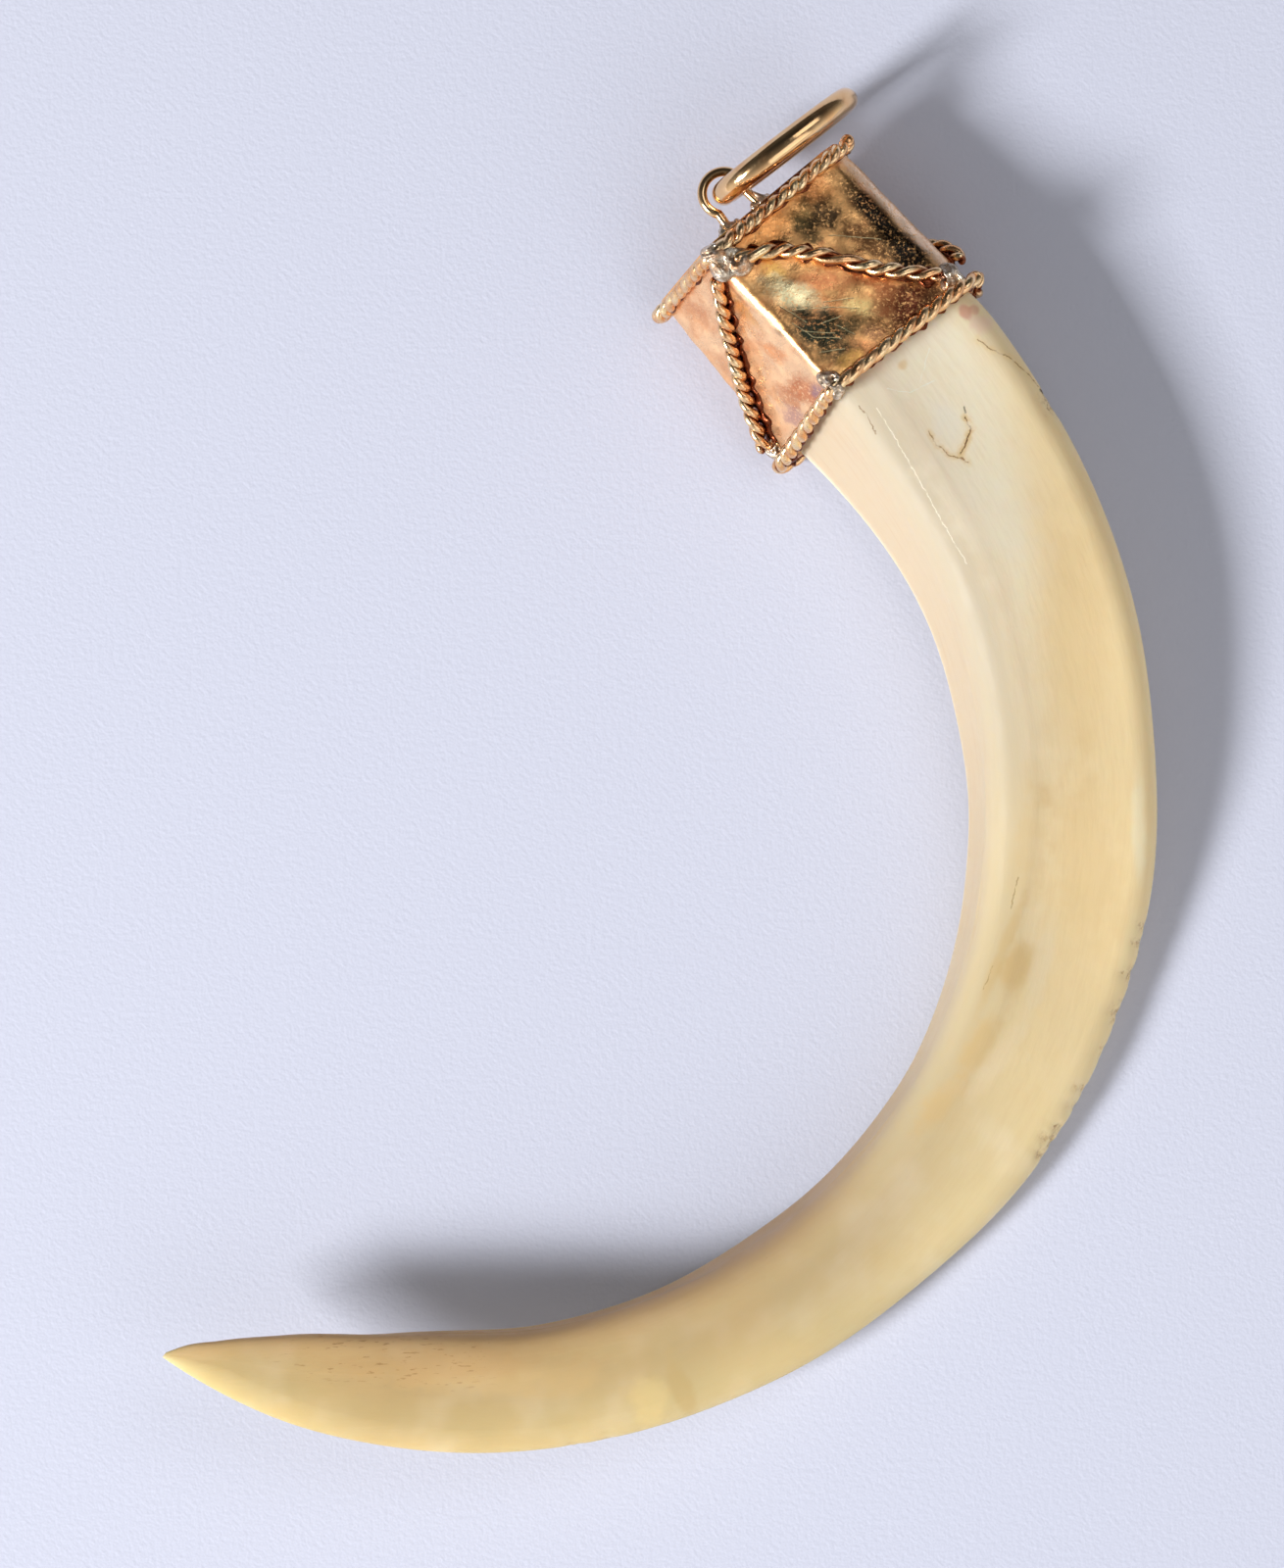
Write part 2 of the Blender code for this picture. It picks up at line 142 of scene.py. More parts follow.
def rounded_outline(corners, reach, corner_points, side_points, bulge):
    """Closed outlines: a quadratic arc over each corner, then a side that swells by a parabola."""
    before = np.roll(corners, 1, axis=1) - corners
    after = np.roll(corners, -1, axis=1) - corners
    reach = np.array(reach)[None, :, None]
    back = np.linalg.norm(before, axis=2, keepdims=True)
    ahead = np.linalg.norm(after, axis=2, keepdims=True)
    starts = corners + before / back * np.minimum(reach, 0.42 * back)
    ends = corners + after / ahead * np.minimum(reach, 0.42 * ahead)
    t = np.linspace(0.0, 1.0, corner_points)[None, :, None]
    pieces = []
    for k, count in enumerate(side_points):
        start, corner, end = starts[:, k, None], corners[:, k, None], ends[:, k, None]
        pieces.append((1 - t) ** 2 * start + 2 * t * (1 - t) * corner + t * t * end)
        chord = starts[:, (k + 1) % len(side_points), None] - end
        proud = np.stack((-chord[..., 1], chord[..., 0]), axis=-1) * bulge
        s = (np.arange(1, count + 1) / (count + 1))[None, :, None]
        pieces.append(end + s * chord + 4 * s * (1 - s) * proud)
    return np.concatenate(pieces, axis=1)


def girth_of(rings):
    """Distance round each ring from its first point, with the full turn as one more column."""
    steps = np.linalg.norm(np.diff(rings, axis=1, append=rings[:, :1]), axis=2)
    return np.concatenate((np.zeros((len(rings), 1)), np.cumsum(steps, axis=1)), axis=1)


def waves(run, girth, size, seed, count=12):
    """Cosine waves of random heading and phase over a surface's two lengths, averaging size long."""
    chance = np.random.default_rng(seed)
    total = np.zeros(np.broadcast(run, girth).shape)
    for _ in range(count):
        heading, phase = chance.uniform(0, 2 * math.pi, 2)
        pace = 2 * math.pi / (size * chance.uniform(0.6, 1.6))
        total += np.cos(pace * (run * math.cos(heading) + girth * math.sin(heading)) + phase)
    return total / math.sqrt(count / 2)


def bell(distance, width):
    """1 at distance 0, falling to 0 as a Gaussian of that half width."""
    return np.exp(-((distance / width) ** 2))


def skin(name, rings, uv=None, marks=None, loop=False):
    """Faces between neighbouring rings; the ends are closed by a fan, or joined if it is a loop."""
    count, around = rings.shape[:2]
    verts = rings.reshape(-1, 3)
    rows = count if loop else count - 1
    row, column = (g.ravel() for g in np.meshgrid(np.arange(rows), np.arange(around), indexing="ij"))
    below = (row + 1) % count
    beside = (column + 1) % around
    quads = np.stack((row * around + column, row * around + beside, below * around + beside,
                      below * around + column), axis=1)
    spots = np.stack((np.stack((row, column), 1), np.stack((row, column + 1), 1),
                      np.stack((row + 1, column + 1), 1), np.stack((row + 1, column), 1)), axis=1)
    corners = verts[quads] - verts.mean(axis=0)
    volume = np.einsum("ij,ij->", corners[:, 0], np.cross(corners[:, 1], corners[:, 2]))
    volume += np.einsum("ij,ij->", corners[:, 0], np.cross(corners[:, 2], corners[:, 3]))
    faces = [quads]
    places = [spots]
    if not loop:
        verts = np.concatenate((verts, rings[[0, -1]].mean(axis=1)))
        j = np.arange(around)
        k = (j + 1) % around
        base = (count - 1) * around
        faces.append(np.stack((np.full(around, count * around), k, j), axis=1))
        faces.append(np.stack((np.full(around, count * around + 1), base + j, base + k), axis=1))
        for end, steps in ((0, (0, 1, 0)), (count - 1, (0, 0, 1))):
            places.append(np.stack([np.stack((0 * j + end, j + step), axis=1) for step in steps], axis=1))
    if volume < 0:
        faces = [part[:, ::-1] for part in faces]
        places = [part[:, ::-1] for part in places]
    mesh = bpy.data.meshes.new(name)
    mesh.from_pydata((verts * MM).tolist(), [], [face for part in faces for face in part.tolist()])
    if uv is not None:
        spot = np.concatenate([part.reshape(-1, 2) for part in places])
        layer = mesh.uv_layers.new(name="surface_mm")
        layer.uv.foreach_set("vector", uv[np.minimum(spot[:, 0], uv.shape[0] - 1), spot[:, 1]].ravel())
    for mark, values in (marks or {}).items():
        flat = np.asarray(values, float)
        ends = () if loop else (flat[0].mean(), flat[-1].mean())
        mesh.attributes.new(mark, "FLOAT", "POINT").data.foreach_set("value", np.append(flat.ravel(), ends))
    mesh.shade_smooth()
    return mesh


def add_piece(name, mesh, material, body="pendant", stands_for=()):
    """Links one piece, gives it its finish and lets it ride on its body."""
    piece = bpy.data.objects.new(name, mesh)
    bpy.context.scene.collection.objects.link(piece)
    mesh.materials.append(material)
    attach(piece, body)
    if stands_for:
        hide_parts(*stands_for)
    return piece


def tusk_mesh():
    """Outlines at every 0.3 mm of the outer edge, a little wavy and chipped, and the root in the cap."""
    blade = np.concatenate((np.linspace(0.0, 140.0, 470), np.linspace(140.0, EDGE_ARC[-1], 40)[1:]))
    outline = rounded_outline(section_corners(blade), CORNER_REACH, CORNER_POINTS, SIDE_POINTS, SIDE_BULGE)
    outline[..., 0] -= outline[..., 0].min(axis=1, keepdims=True)
    first = outline[0]
    depth = np.linspace(ROOT_DEPTH, 1.0, 12)
    middle = (first.min(axis=0) + first.max(axis=0)) / 2
    root = middle + (first - middle) * (1 - np.array(ROOT_SHRINK) * (depth / ROOT_DEPTH)[:, None, None])
    root[..., 1] -= depth[:, None] * math.tan(CAP_RISE)
    outline = np.concatenate((root, outline))
    inward = np.clip(outline[..., 0] / outline[..., 0].max(axis=1, keepdims=True), 0, 1)
    arc = np.concatenate((-depth, blade))
    girth = girth_of(outline)
    stride = np.cumsum((0,) + SIDE_POINTS[:-1]) + CORNER_POINTS * np.arange(4) + CORNER_POINTS // 2
    ridge_at, top_at, foot_at, keel_at = (girth[:, k, None] for k in stride)
    place = girth[:, :-1]
    whole = girth[:, -1:]
    edge_at = (top_at + foot_at) / 2
    run = arc[:, None]
    thin = np.clip((EDGE_ARC[-1] - run) / 12, 0, 1) * np.clip(run / 2, 0, 1)
    lift = SURFACE_WAVE * waves(run, place, 17.0, 3) * thin
    chip = np.zeros(place.shape)
    for at, half, deep in EDGE_CHIPS:
        ragged = 1 + 0.35 * waves(run, place, 0.9, int(at * 10), 5)
        chip += deep * bell(run - at, half) * bell(place - edge_at + 0.5, 1.3) * ragged
    centre = outline.mean(axis=1, keepdims=True)
    outward = unit(outline - centre)
    ahead = np.roll(outline, -1, axis=1) - np.roll(outline, 1, axis=1)
    normal = unit(np.stack((-ahead[..., 1], ahead[..., 0]), axis=-1) + 1e-9)
    normal *= np.sign((normal * outward).sum(axis=-1, keepdims=True))
    outline = outline + normal * (lift - chip)[..., None]
    edge, heading = outer_edge(arc)
    inwards = np.stack((np.sin(heading), -np.cos(heading)), axis=1)
    plan = edge[:, None] + outline[..., :1] * inwards[:, None]
    rings = np.concatenate((plan, outline[..., 1:]), axis=2)
    from_ridge = np.where(place > keel_at, place - whole, place) - ridge_at
    top = np.clip(from_ridge / 1.5, 0, 1) * np.clip((edge_at - place) / 0.8 + 0.5, 0, 1)
    from_keel = from_ridge + whole + ridge_at - keel_at
    marks = {
        "ridge_near": bell(from_ridge, 2.2),
        "upper_side": np.clip(top + bell(from_ridge, 1.2), 0, 1),
        "inner_side": np.clip(from_keel / 1.2, 0, 1) * np.clip(0.5 - from_ridge / 3.0, 0, 1),
        "inward": inward,
        "chipped": np.clip((chip - 0.03) / 0.13, 0, 1),
        "run_mm": run + 0 * place,
    }
    round_it = np.where(girth > keel_at, girth - whole, girth)
    uv = np.stack((np.broadcast_to(run, girth.shape), round_it), axis=-1)
    return skin("tusk_ivory", rings, uv, marks)


def tone(red, green, blue):
    """A colour written as on a screen, 0 to 255, in the linear values that shaders take."""
    share = np.array((red, green, blue)) / 255
    linear = np.where(share <= 0.04045, share / 12.92, ((share + 0.055) / 1.055) ** 2.4)
    return (*linear.tolist(), 1.0)


def add_node(tree, kind, feeds=None, **settings):
    """A node with its settings, and its sockets linked or set as feeds says."""
    made = tree.nodes.new("ShaderNode" + kind)
    for key, value in settings.items():
        setattr(made, key, value)
    for key, value in (feeds or {}).items():
        if isinstance(value, bpy.types.NodeSocket):
            tree.links.new(value, made.inputs[key])
        else:
            made.inputs[key].default_value = value
    return made


def figure(tree, operation, first, second=0.0, third=0.0):
    """One step of arithmetic."""
    return add_node(tree, "Math", {0: first, 1: second, 2: third}, operation=operation).outputs[0]


def times(tree, product, *others):
    """Several values multiplied."""
    for other in others:
        product = figure(tree, "MULTIPLY", product, other)
    return product


def vector(tree, operation, first, second=(0, 0, 0), output="Vector"):
    """One step of vector arithmetic."""
    return add_node(tree, "VectorMath", {0: first, 1: second}, operation=operation).outputs[output]


def between(tree, value, low, high, start=0.0, end=1.0):
    """Runs smoothly from start to end as the value goes from low to high."""
    feeds = {0: value, 1: low, 2: high, 3: start, 4: end}
    return add_node(tree, "MapRange", feeds, interpolation_type="SMOOTHSTEP").outputs[0]


def laid_over(tree, share, under, over, way="MIX"):
    """One colour laid over another by a share."""
    feeds = {0: share, 6: under, 7: over}
    return add_node(tree, "Mix", feeds, data_type="RGBA", blend_type=way).outputs[2]


def cloud(tree, place, size, detail=3.0, rough=0.5, seed=0.0):
    """Noise whose lumps are about size across, from a place in the same unit."""
    moved = vector(tree, "ADD", place, (seed * 3.7, seed * 5.3, seed * 7.9))
    feeds = {"Vector": moved, "Scale": 1 / size, "Detail": detail, "Roughness": rough}
    return add_node(tree, "TexNoise", feeds).outputs[0]


def new_group(name, inputs, outputs):
    """An empty node group with its sockets: names, and a float or a vector default."""
    tree = bpy.data.node_groups.new(name, "ShaderNodeTree")
    for label, default in inputs:
        kind = "NodeSocketVector" if isinstance(default, tuple) else "NodeSocketFloat"
        tree.interface.new_socket(label, in_out="INPUT", socket_type=kind).default_value = default
    for label in outputs:
        tree.interface.new_socket(label, in_out="OUTPUT", socket_type="NodeSocketFloat")
    return tree, tree.nodes.new("NodeGroupInput").outputs, tree.nodes.new("NodeGroupOutput")


def make_patch_group():
    """A ragged oval: distance from its centre over its size, shifted by the lumps, as a mask."""
    tree, given, result = new_group(
        "soft_patch",
        (("Place", (0, 0, 0)), ("Lumps", 0.0), ("Centre", (0, 0, 0)), ("Size", (1, 1, 1)), ("Turn", 0.0),
         ("Ragged", 0.3)),
        ("Mask",),
    )
    local = vector(tree, "SUBTRACT", given["Place"], given["Centre"])
    feeds = {"Vector": local, "Angle": times(tree, given["Turn"], -1.0)}
    turned = add_node(tree, "VectorRotate", feeds, rotation_type="Z_AXIS").outputs[0]
    flat = vector(tree, "MULTIPLY", turned, (1, 1, 0))
    length = vector(tree, "LENGTH", vector(tree, "DIVIDE", flat, given["Size"]), output="Value")
    worn = figure(tree, "MULTIPLY_ADD", given["Lumps"], given["Ragged"], length)
    tree.links.new(between(tree, worn, 1.15, 0.35), result.inputs["Mask"])
    return tree


def make_crack_group():
    """A thin line: distance to the stretch from start to end, its place shaken, as a mask."""
    tree, given, result = new_group(
        "crack_line",
        (("Place", (0, 0, 0)), ("Shake", (0, 0, 0)), ("Start", (0, 0, 0)), ("End", (1, 0, 0)), ("Width", 0.1),
         ("Wander", 0.2)),
        ("Mask",),
    )
    feeds = {0: given["Shake"], "Scale": given["Wander"]}
    scaled = add_node(tree, "VectorMath", feeds, operation="SCALE").outputs[0]
    place = vector(tree, "MULTIPLY", vector(tree, "ADD", given["Place"], scaled), (1, 1, 0))
    reach = vector(tree, "SUBTRACT", given["End"], given["Start"])
    local = vector(tree, "SUBTRACT", place, given["Start"])
    share = figure(tree, "DIVIDE", vector(tree, "DOT_PRODUCT", local, reach, "Value"),
                   vector(tree, "DOT_PRODUCT", reach, reach, "Value"))
    share = figure(tree, "MINIMUM", figure(tree, "MAXIMUM", share, 0.0), 1.0)
    foot = add_node(tree, "VectorMath", {0: reach, "Scale": share}, operation="SCALE").outputs[0]
    gap = vector(tree, "LENGTH", vector(tree, "SUBTRACT", local, foot), output="Value")
    feeds = {0: gap, 1: given["Width"], 2: 0.0, 3: 0.0, 4: 1.0}
    mask = add_node(tree, "MapRange", feeds, interpolation_type="SMOOTHSTEP").outputs[0]
    tree.links.new(mask, result.inputs["Mask"])
    return tree


def make_speck_group():
    """Scattered specks: a cell point's neighbourhood, kept only where the cell's draw is high."""
    tree, given, result = new_group(
        "specks", (("Place", (0, 0, 0)), ("Spacing", 1.0), ("Radius", 0.1), ("Kept", 0.5)), ("Mask",)
    )
    feeds = {"Vector": given["Place"], "Scale": figure(tree, "DIVIDE", 1.0, given["Spacing"])}
    cells = add_node(tree, "TexVoronoi", feeds)
    draw = add_node(tree, "SeparateColor", {0: cells.outputs["Color"]})
    radius = figure(tree, "DIVIDE", given["Radius"], given["Spacing"])
    near = between(tree, figure(tree, "SUBTRACT", cells.outputs["Distance"], radius), 0.0, -0.05)
    kept = figure(tree, "GREATER_THAN", given["Kept"], draw.outputs[0])
    tree.links.new(times(tree, near, kept), result.inputs["Mask"])
    return tree


PATCH_GROUP = make_patch_group()
CRACK_GROUP = make_crack_group()
SPECK_GROUP = make_speck_group()


def grouped(tree, group, **feeds):
    """One use of a shared effect, and its first output."""
    made = tree.nodes.new("ShaderNodeGroup")
    made.node_tree = group
    for key, value in feeds.items():
        if isinstance(value, bpy.types.NodeSocket):
            tree.links.new(value, made.inputs[key])
        else:
            made.inputs[key].default_value = value
    return made.outputs[0]


def attribute(tree, name):
    """A mark that the mesh carries at each point."""
    return add_node(tree, "Attribute", attribute_name=name).outputs["Fac"]


def finish_named(name, **constants):
    """An empty material: its tree, its shader with the constants set, and its place in millimetres."""
    material = bpy.data.materials.new(name)
    material.use_nodes = True
    tree = material.node_tree
    shader = tree.nodes["Principled BSDF"]
    for key, value in constants.items():
        shader.inputs[key.replace("_", " ")].default_value = value
    spot = add_node(tree, "TexCoord").outputs["Object"]
    return material, tree, shader, vector(tree, "MULTIPLY", spot, (1 / MM, 1 / MM, 1 / MM))


def lumps_over(tree, place, size, detail):
    """Noise about zero that frays the edges of the patches."""
    return figure(tree, "MULTIPLY_ADD", cloud(tree, place, size, detail, 0.6), 4.0, -2.0)


def shake_over(tree, place, size):
    """A noise vector about zero that makes straight lines wander."""
    feeds = {"Vector": place, "Scale": 1 / size, "Detail": 5.0, "Roughness": 0.62}
    return vector(tree, "SUBTRACT", add_node(tree, "TexNoise", feeds).outputs["Color"], (0.5, 0.5, 0.5))


def crack_path(tree, place, shake, points, width, wander):
    """A mask along a broken line through plan points."""
    mask = None
    for start, end in zip(points[:-1], points[1:]):
        line = grouped(tree, CRACK_GROUP, Place=place, Shake=shake, Start=(*start, 0.0), End=(*end, 0.0),
                       Width=width, Wander=wander)
        mask = line if mask is None else figure(tree, "MAXIMUM", mask, line)
    return mask


# Stains seen on the upper side: plan centre, size, turn in degrees, raggedness, colour, strength
IVORY_PATCHES = (
    ((31.8, 11.0), (3.4, 16.0), -4, 0.30, (226, 194, 136), 0.22),
    ((32.5, -7.0), (3.6, 9.0), 8, 0.35, (224, 192, 134), 0.28),
    ((28.2, -5.6), (1.6, 5.2), -6, 0.35, (214, 184, 126), 0.30),
    ((27.2, -14.9), (1.5, 2.6), -20, 0.35, (214, 178, 112), 0.50),
    ((24.2, -21.2), (1.3, 3.6), -34, 0.35, (216, 180, 112), 0.42),
    ((21.2, -25.6), (1.2, 3.4), -44, 0.35, (220, 184, 118), 0.40),
    ((26.0, -14.0), (0.6, 6.5), -22, 0.25, (204, 172, 112), 0.40),
    ((29.0, -15.0), (0.9, 5.0), -14, 0.30, (240, 222, 186), 0.50),
    ((25.9, -22.0), (0.9, 5.0), -35, 0.30, (240, 220, 182), 0.42),
    ((36.6, -4.5), (0.7, 5.0), 2, 0.30, (246, 234, 200), 0.60),
    ((36.0, -13.0), (0.6, 4.0), -14, 0.30, (240, 222, 176), 0.45),
    ((24.6, 20.0), (3.6, 7.0), 38, 0.35, (250, 240, 220), 0.35),
    ((29.8, 17.5), (2.2, 8.0), 26, 0.35, (226, 198, 148), 0.15),
    ((1.7, -47.6), (0.9, 4.2), 22, 0.35, (196, 166, 108), 0.45),
    ((-0.9, -48.4), (1.5, 2.4), 10, 0.35, (232, 208, 146), 0.45),
    ((-12.0, -46.4), (10.0, 1.7), -4, 0.35, (214, 180, 122), 0.30),
    ((-15.5, -45.2), (10.5, 1.7), 2, 0.35, (184, 148, 100), 0.50),
    ((23.1, 35.0), (0.5, 0.7), 20, 0.80, (214, 140, 122), 0.60),
    ((23.9, 35.2), (0.45, 0.45), 20, 0.80, (218, 148, 130), 0.50),
    ((24.4, 34.0), (1.0, 0.9), -30, 0.60, (244, 204, 186), 0.50),
    ((18.3, 30.9), (0.6, 0.45), 30, 0.80, (222, 186, 122), 0.50),
    ((21.6, 26.6), (1.3, 2.4), 18, 0.15, (246, 238, 222), 0.50),
)
# Cracks seen on the upper side, as plan points
LONG_CRACK = ((16.4, 27.6), (17.9, 25.1), (19.9, 21.6), (22.3, 17.3), (23.3, 15.8))
FLAKE_SIDE = ((23.1, 26.9), (23.6, 26.1), (23.3, 25.2), (22.8, 24.2))
FLAKE_FOOT = ((20.3, 25.8), (21.0, 24.8), (22.0, 24.0), (22.8, 23.8), (23.4, 23.4))
EDGE_CRACK = ((24.1, 32.9), (25.3, 32.1), (26.6, 31.6), (27.7, 30.6), (28.8, 29.4))
# Each crack's points, width, wander, colour and strength; a wide one first is the stain round it
IVORY_CRACKS = (
    (LONG_CRACK, 0.07, 0.45, (255, 250, 234), 0.65),
    (FLAKE_SIDE, 0.5, 0.55, (226, 186, 104), 0.65),
    (FLAKE_SIDE, 0.085, 0.60, (96, 52, 22), 1.0),
    (FLAKE_FOOT, 0.40, 0.55, (226, 190, 116), 0.45),
    (FLAKE_FOOT, 0.08, 0.55, (158, 112, 54), 0.85),
    (((23.1, 27.7), (23.2, 27.3)), 0.12, 0.30, (70, 58, 40), 0.85),
    (((17.2, 29.1), (18.9, 28.8), (19.9, 29.3), (20.8, 29.7)), 0.07, 0.45, (255, 252, 240), 0.70),
    (((20.4, 32.2), (20.0, 30.6), (19.65, 29.5)), 0.06, 0.30, (255, 252, 240), 0.70),
    (((15.0, 27.8), (15.6, 27.1), (16.3, 25.7)), 0.07, 0.60, (120, 84, 44), 0.80),
    (EDGE_CRACK, 0.50, 0.60, (238, 206, 140), 0.40),
    (EDGE_CRACK, 0.075, 0.60, (150, 104, 56), 0.85),
    (((29.0, 29.1), (29.6, 28.5), (30.3, 27.4)), 0.17, 0.45, (62, 40, 26), 1.0),
    (((27.2, -8.2), (26.7, -10.6)), 0.07, 0.50, (150, 120, 70), 0.70),
    (((25.3, -14.9), (24.6, -16.8)), 0.06, 0.50, (150, 118, 70), 0.65),
)


def stained(tree, colour, patches, place, lumps, limit):
    """The patches laid over a colour one after another, each held back by the limit's mask."""
    for centre, size, turn, ragged, stain, strength in patches:
        mask = grouped(tree, PATCH_GROUP, Place=place, Lumps=lumps, Centre=(*centre, 0.0),
                       Size=(*size, 1.0), Turn=math.radians(turn), Ragged=ragged)
        colour = laid_over(tree, times(tree, mask, limit, strength), colour, tone(*stain))
    return colour


def raised(tree, shader, height, strength, depth):
    """Lets a height tilt the surface, as if it rose by that depth in metres."""
    feeds = {"Height": height, "Strength": strength, "Distance": depth}
    tree.links.new(add_node(tree, "Bump", feeds).outputs[0], shader.inputs["Normal"])


def ivory_finish():
    """Cream near the cap to tan at the tip, browner inside the curve partly as painted shade, with painted
    shade on the ridge top and towards the lower arm's inner edge; stains, cracks, specks, chips.
    """
    material, tree, shader, place = finish_named(
        "ivory_tusk", Roughness=0.5, Specular_IOR_Level=0.22, Subsurface_Weight=0.4,
        Subsurface_Radius=(1.0, 0.72, 0.42), Subsurface_Scale=0.003)
    run = attribute(tree, "run_mm")
    ramp = add_node(tree, "ValToRGB", {0: figure(tree, "DIVIDE", run, EDGE_ARC[-1])})
    stops = ((0.0, (254, 241, 217)), (0.16, (254, 237, 203)), (0.36, (242, 222, 176)),
             (0.55, (226, 206, 158)), (0.72, (207, 187, 136)), (0.88, (194, 171, 121)),
             (0.97, (201, 182, 128)), (1.0, (213, 196, 146)))
    while len(ramp.color_ramp.elements) < len(stops):
        ramp.color_ramp.elements.new(0.5)
    for element, (at, colour) in zip(ramp.color_ramp.elements, stops):
        element.position = at
        element.color = tone(*colour)
    surface = add_node(tree, "UVMap", uv_map="surface_mm").outputs[0]
    stretched = vector(tree, "MULTIPLY", surface, (0.16, 1.0, 1.0))
    colour = ramp.outputs[0]
    mottle = between(tree, cloud(tree, place, 7.0, 2.0, 0.5, 1.0), 0.36, 0.72)
    mottle = times(tree, mottle, between(tree, run, 12.0, 45.0, 0.3, 1.0))
    colour = laid_over(tree, times(tree, mottle, 0.25), colour, tone(232, 200, 142))
    pale = between(tree, cloud(tree, place, 5.0, 2.0, 0.5, 4.0), 0.45, 0.78)
    pale = times(tree, pale, between(tree, run, 70.0, 100.0, 0.35, 0.18))
    colour = laid_over(tree, pale, colour, tone(252, 240, 214))
    inward = attribute(tree, "inward")
    border = figure(tree, "SUBTRACT", inward, between(tree, run, 0.0, 32.0, 0.10, 0.52))
    outer = times(tree, between(tree, border, 0.14, -0.14), between(tree, run, 75.0, 55.0), 0.85)
    colour = laid_over(tree, outer, colour, tone(243, 218, 168))
    # Painted shade: the lower arm darkened towards its inner edge, where its upper surface turns away from
    # the lamp.
    painted_shade_inward = times(tree, between(tree, inward, 0.12, 0.58), between(tree, run, 60.0, 95.0))
    colour = laid_over(tree, painted_shade_inward, colour, tone(230, 223, 221), "MULTIPLY")
    grain = between(tree, cloud(tree, stretched, 0.5, 4.0, 0.6, 2.0), 0.35, 0.72)
    colour = laid_over(tree, times(tree, grain, 0.10), colour, tone(206, 172, 118))
    inner_side = attribute(tree, "inner_side")
    # The inner side darker and browner: partly the tusk's own brown, partly painted shade that tones down the
    # face the lamp lights most.
    inner_brown_and_shade = laid_over(tree, between(tree, run, 65.0, 90.0), tone(190, 171, 145), tone(184, 152, 120))
    inner_brown_and_shade = laid_over(tree, between(tree, run, 92.0, 110.0), inner_brown_and_shade, tone(212, 174, 128))
    colour = laid_over(tree, times(tree, inner_side, 0.88), colour, inner_brown_and_shade)
    lined = vector(tree, "MULTIPLY", surface, (0.05, 1.0, 1.0))
    lines = between(tree, cloud(tree, lined, 0.35, 3.0, 0.6, 6.0), 0.5, 0.75)
    streaks = times(tree, lines, times(tree, inner_side, 0.22))
    colour = laid_over(tree, streaks, colour, tone(186, 150, 114))
    # Painted shade: the ridge top, which faces the lamp, toned down from the cap to the lower bend so that it
    # shows no bright band.
    painted_shade_crest = times(tree, attribute(tree, "ridge_near"), between(tree, run, 92.0, 70.0, 0.0, 0.95))
    crest_shade_tone = laid_over(tree, between(tree, run, 25.0, 55.0), tone(193, 181, 158), tone(204, 187, 150))
    colour = laid_over(tree, painted_shade_crest, colour, crest_shade_tone)
    upper = attribute(tree, "upper_side")
    lumps = lumps_over(tree, place, 2.2, 2.5)
    shake = shake_over(tree, place, 0.7)
    colour = stained(tree, colour, IVORY_PATCHES, place, lumps, upper)
    faint = between(tree, cloud(tree, place, 0.6, 2.0, 0.5, 9.0), 0.32, 0.55, 0.25, 1.0)
    for points, width, wander, stain, strength in IVORY_CRACKS:
        mask = crack_path(tree, place, shake, points, width, wander)
        colour = laid_over(tree, times(tree, mask, upper, faint, strength), colour, tone(*stain))
    tip = times(tree, between(tree, run, 118.0, 124.0), between(tree, run, 141.0, 136.0))
    dashed = vector(tree, "MULTIPLY", surface, (0.22, 1.0, 1.0))
    dashes = between(tree, cloud(tree, dashed, 0.22, 2.0, 0.5, 8.0), 0.62, 0.72)
    dashes = times(tree, dashes, tip, upper, between(tree, inward, 0.4, 0.7), 0.6)
    colour = laid_over(tree, dashes, colour, tone(140, 104, 60))
    speck_kinds = ((2.6, 0.075, 0.20, (112, 84, 50)), (5.2, 0.12, 0.16, (150, 112, 62)))
    for spacing, radius, kept, stain in speck_kinds:
        specks = grouped(tree, SPECK_GROUP, Place=place, Spacing=spacing, Radius=radius, Kept=kept)
        colour = laid_over(tree, times(tree, specks, 0.75), colour, tone(*stain))
    broken = between(tree, cloud(tree, place, 0.35, 3.0, 0.6, 3.0), 0.42, 0.66)
    chips = times(tree, attribute(tree, "chipped"), broken)
    colour = laid_over(tree, times(tree, chips, 0.75), colour, tone(160, 114, 64))
    tree.links.new(colour, shader.inputs["Base Color"])
    rough = between(tree, cloud(tree, place, 2.5, 4.0, 0.6, 5.0), 0.3, 0.7, 0.42, 0.58)
    tree.links.new(rough, shader.inputs["Roughness"])
    relief = figure(tree, "MULTIPLY_ADD", chips, -0.8, times(tree, grain, 0.10))
    relief = figure(tree, "MULTIPLY_ADD", cloud(tree, place, 0.8, 3.0, 0.5, 7.0), 0.16, relief)
    raised(tree, shader, relief, 0.5, 0.00012)
    return material


add_piece("tusk_body", tusk_mesh(), ivory_finish(), stands_for=("tusk",))

# The cap's sheet
# Thin gold sheet, scored and folded round the root: a sharp fold between the front face and the
# side face, a soft bend down the right-hand edge, and a flat plate soldered over the top.

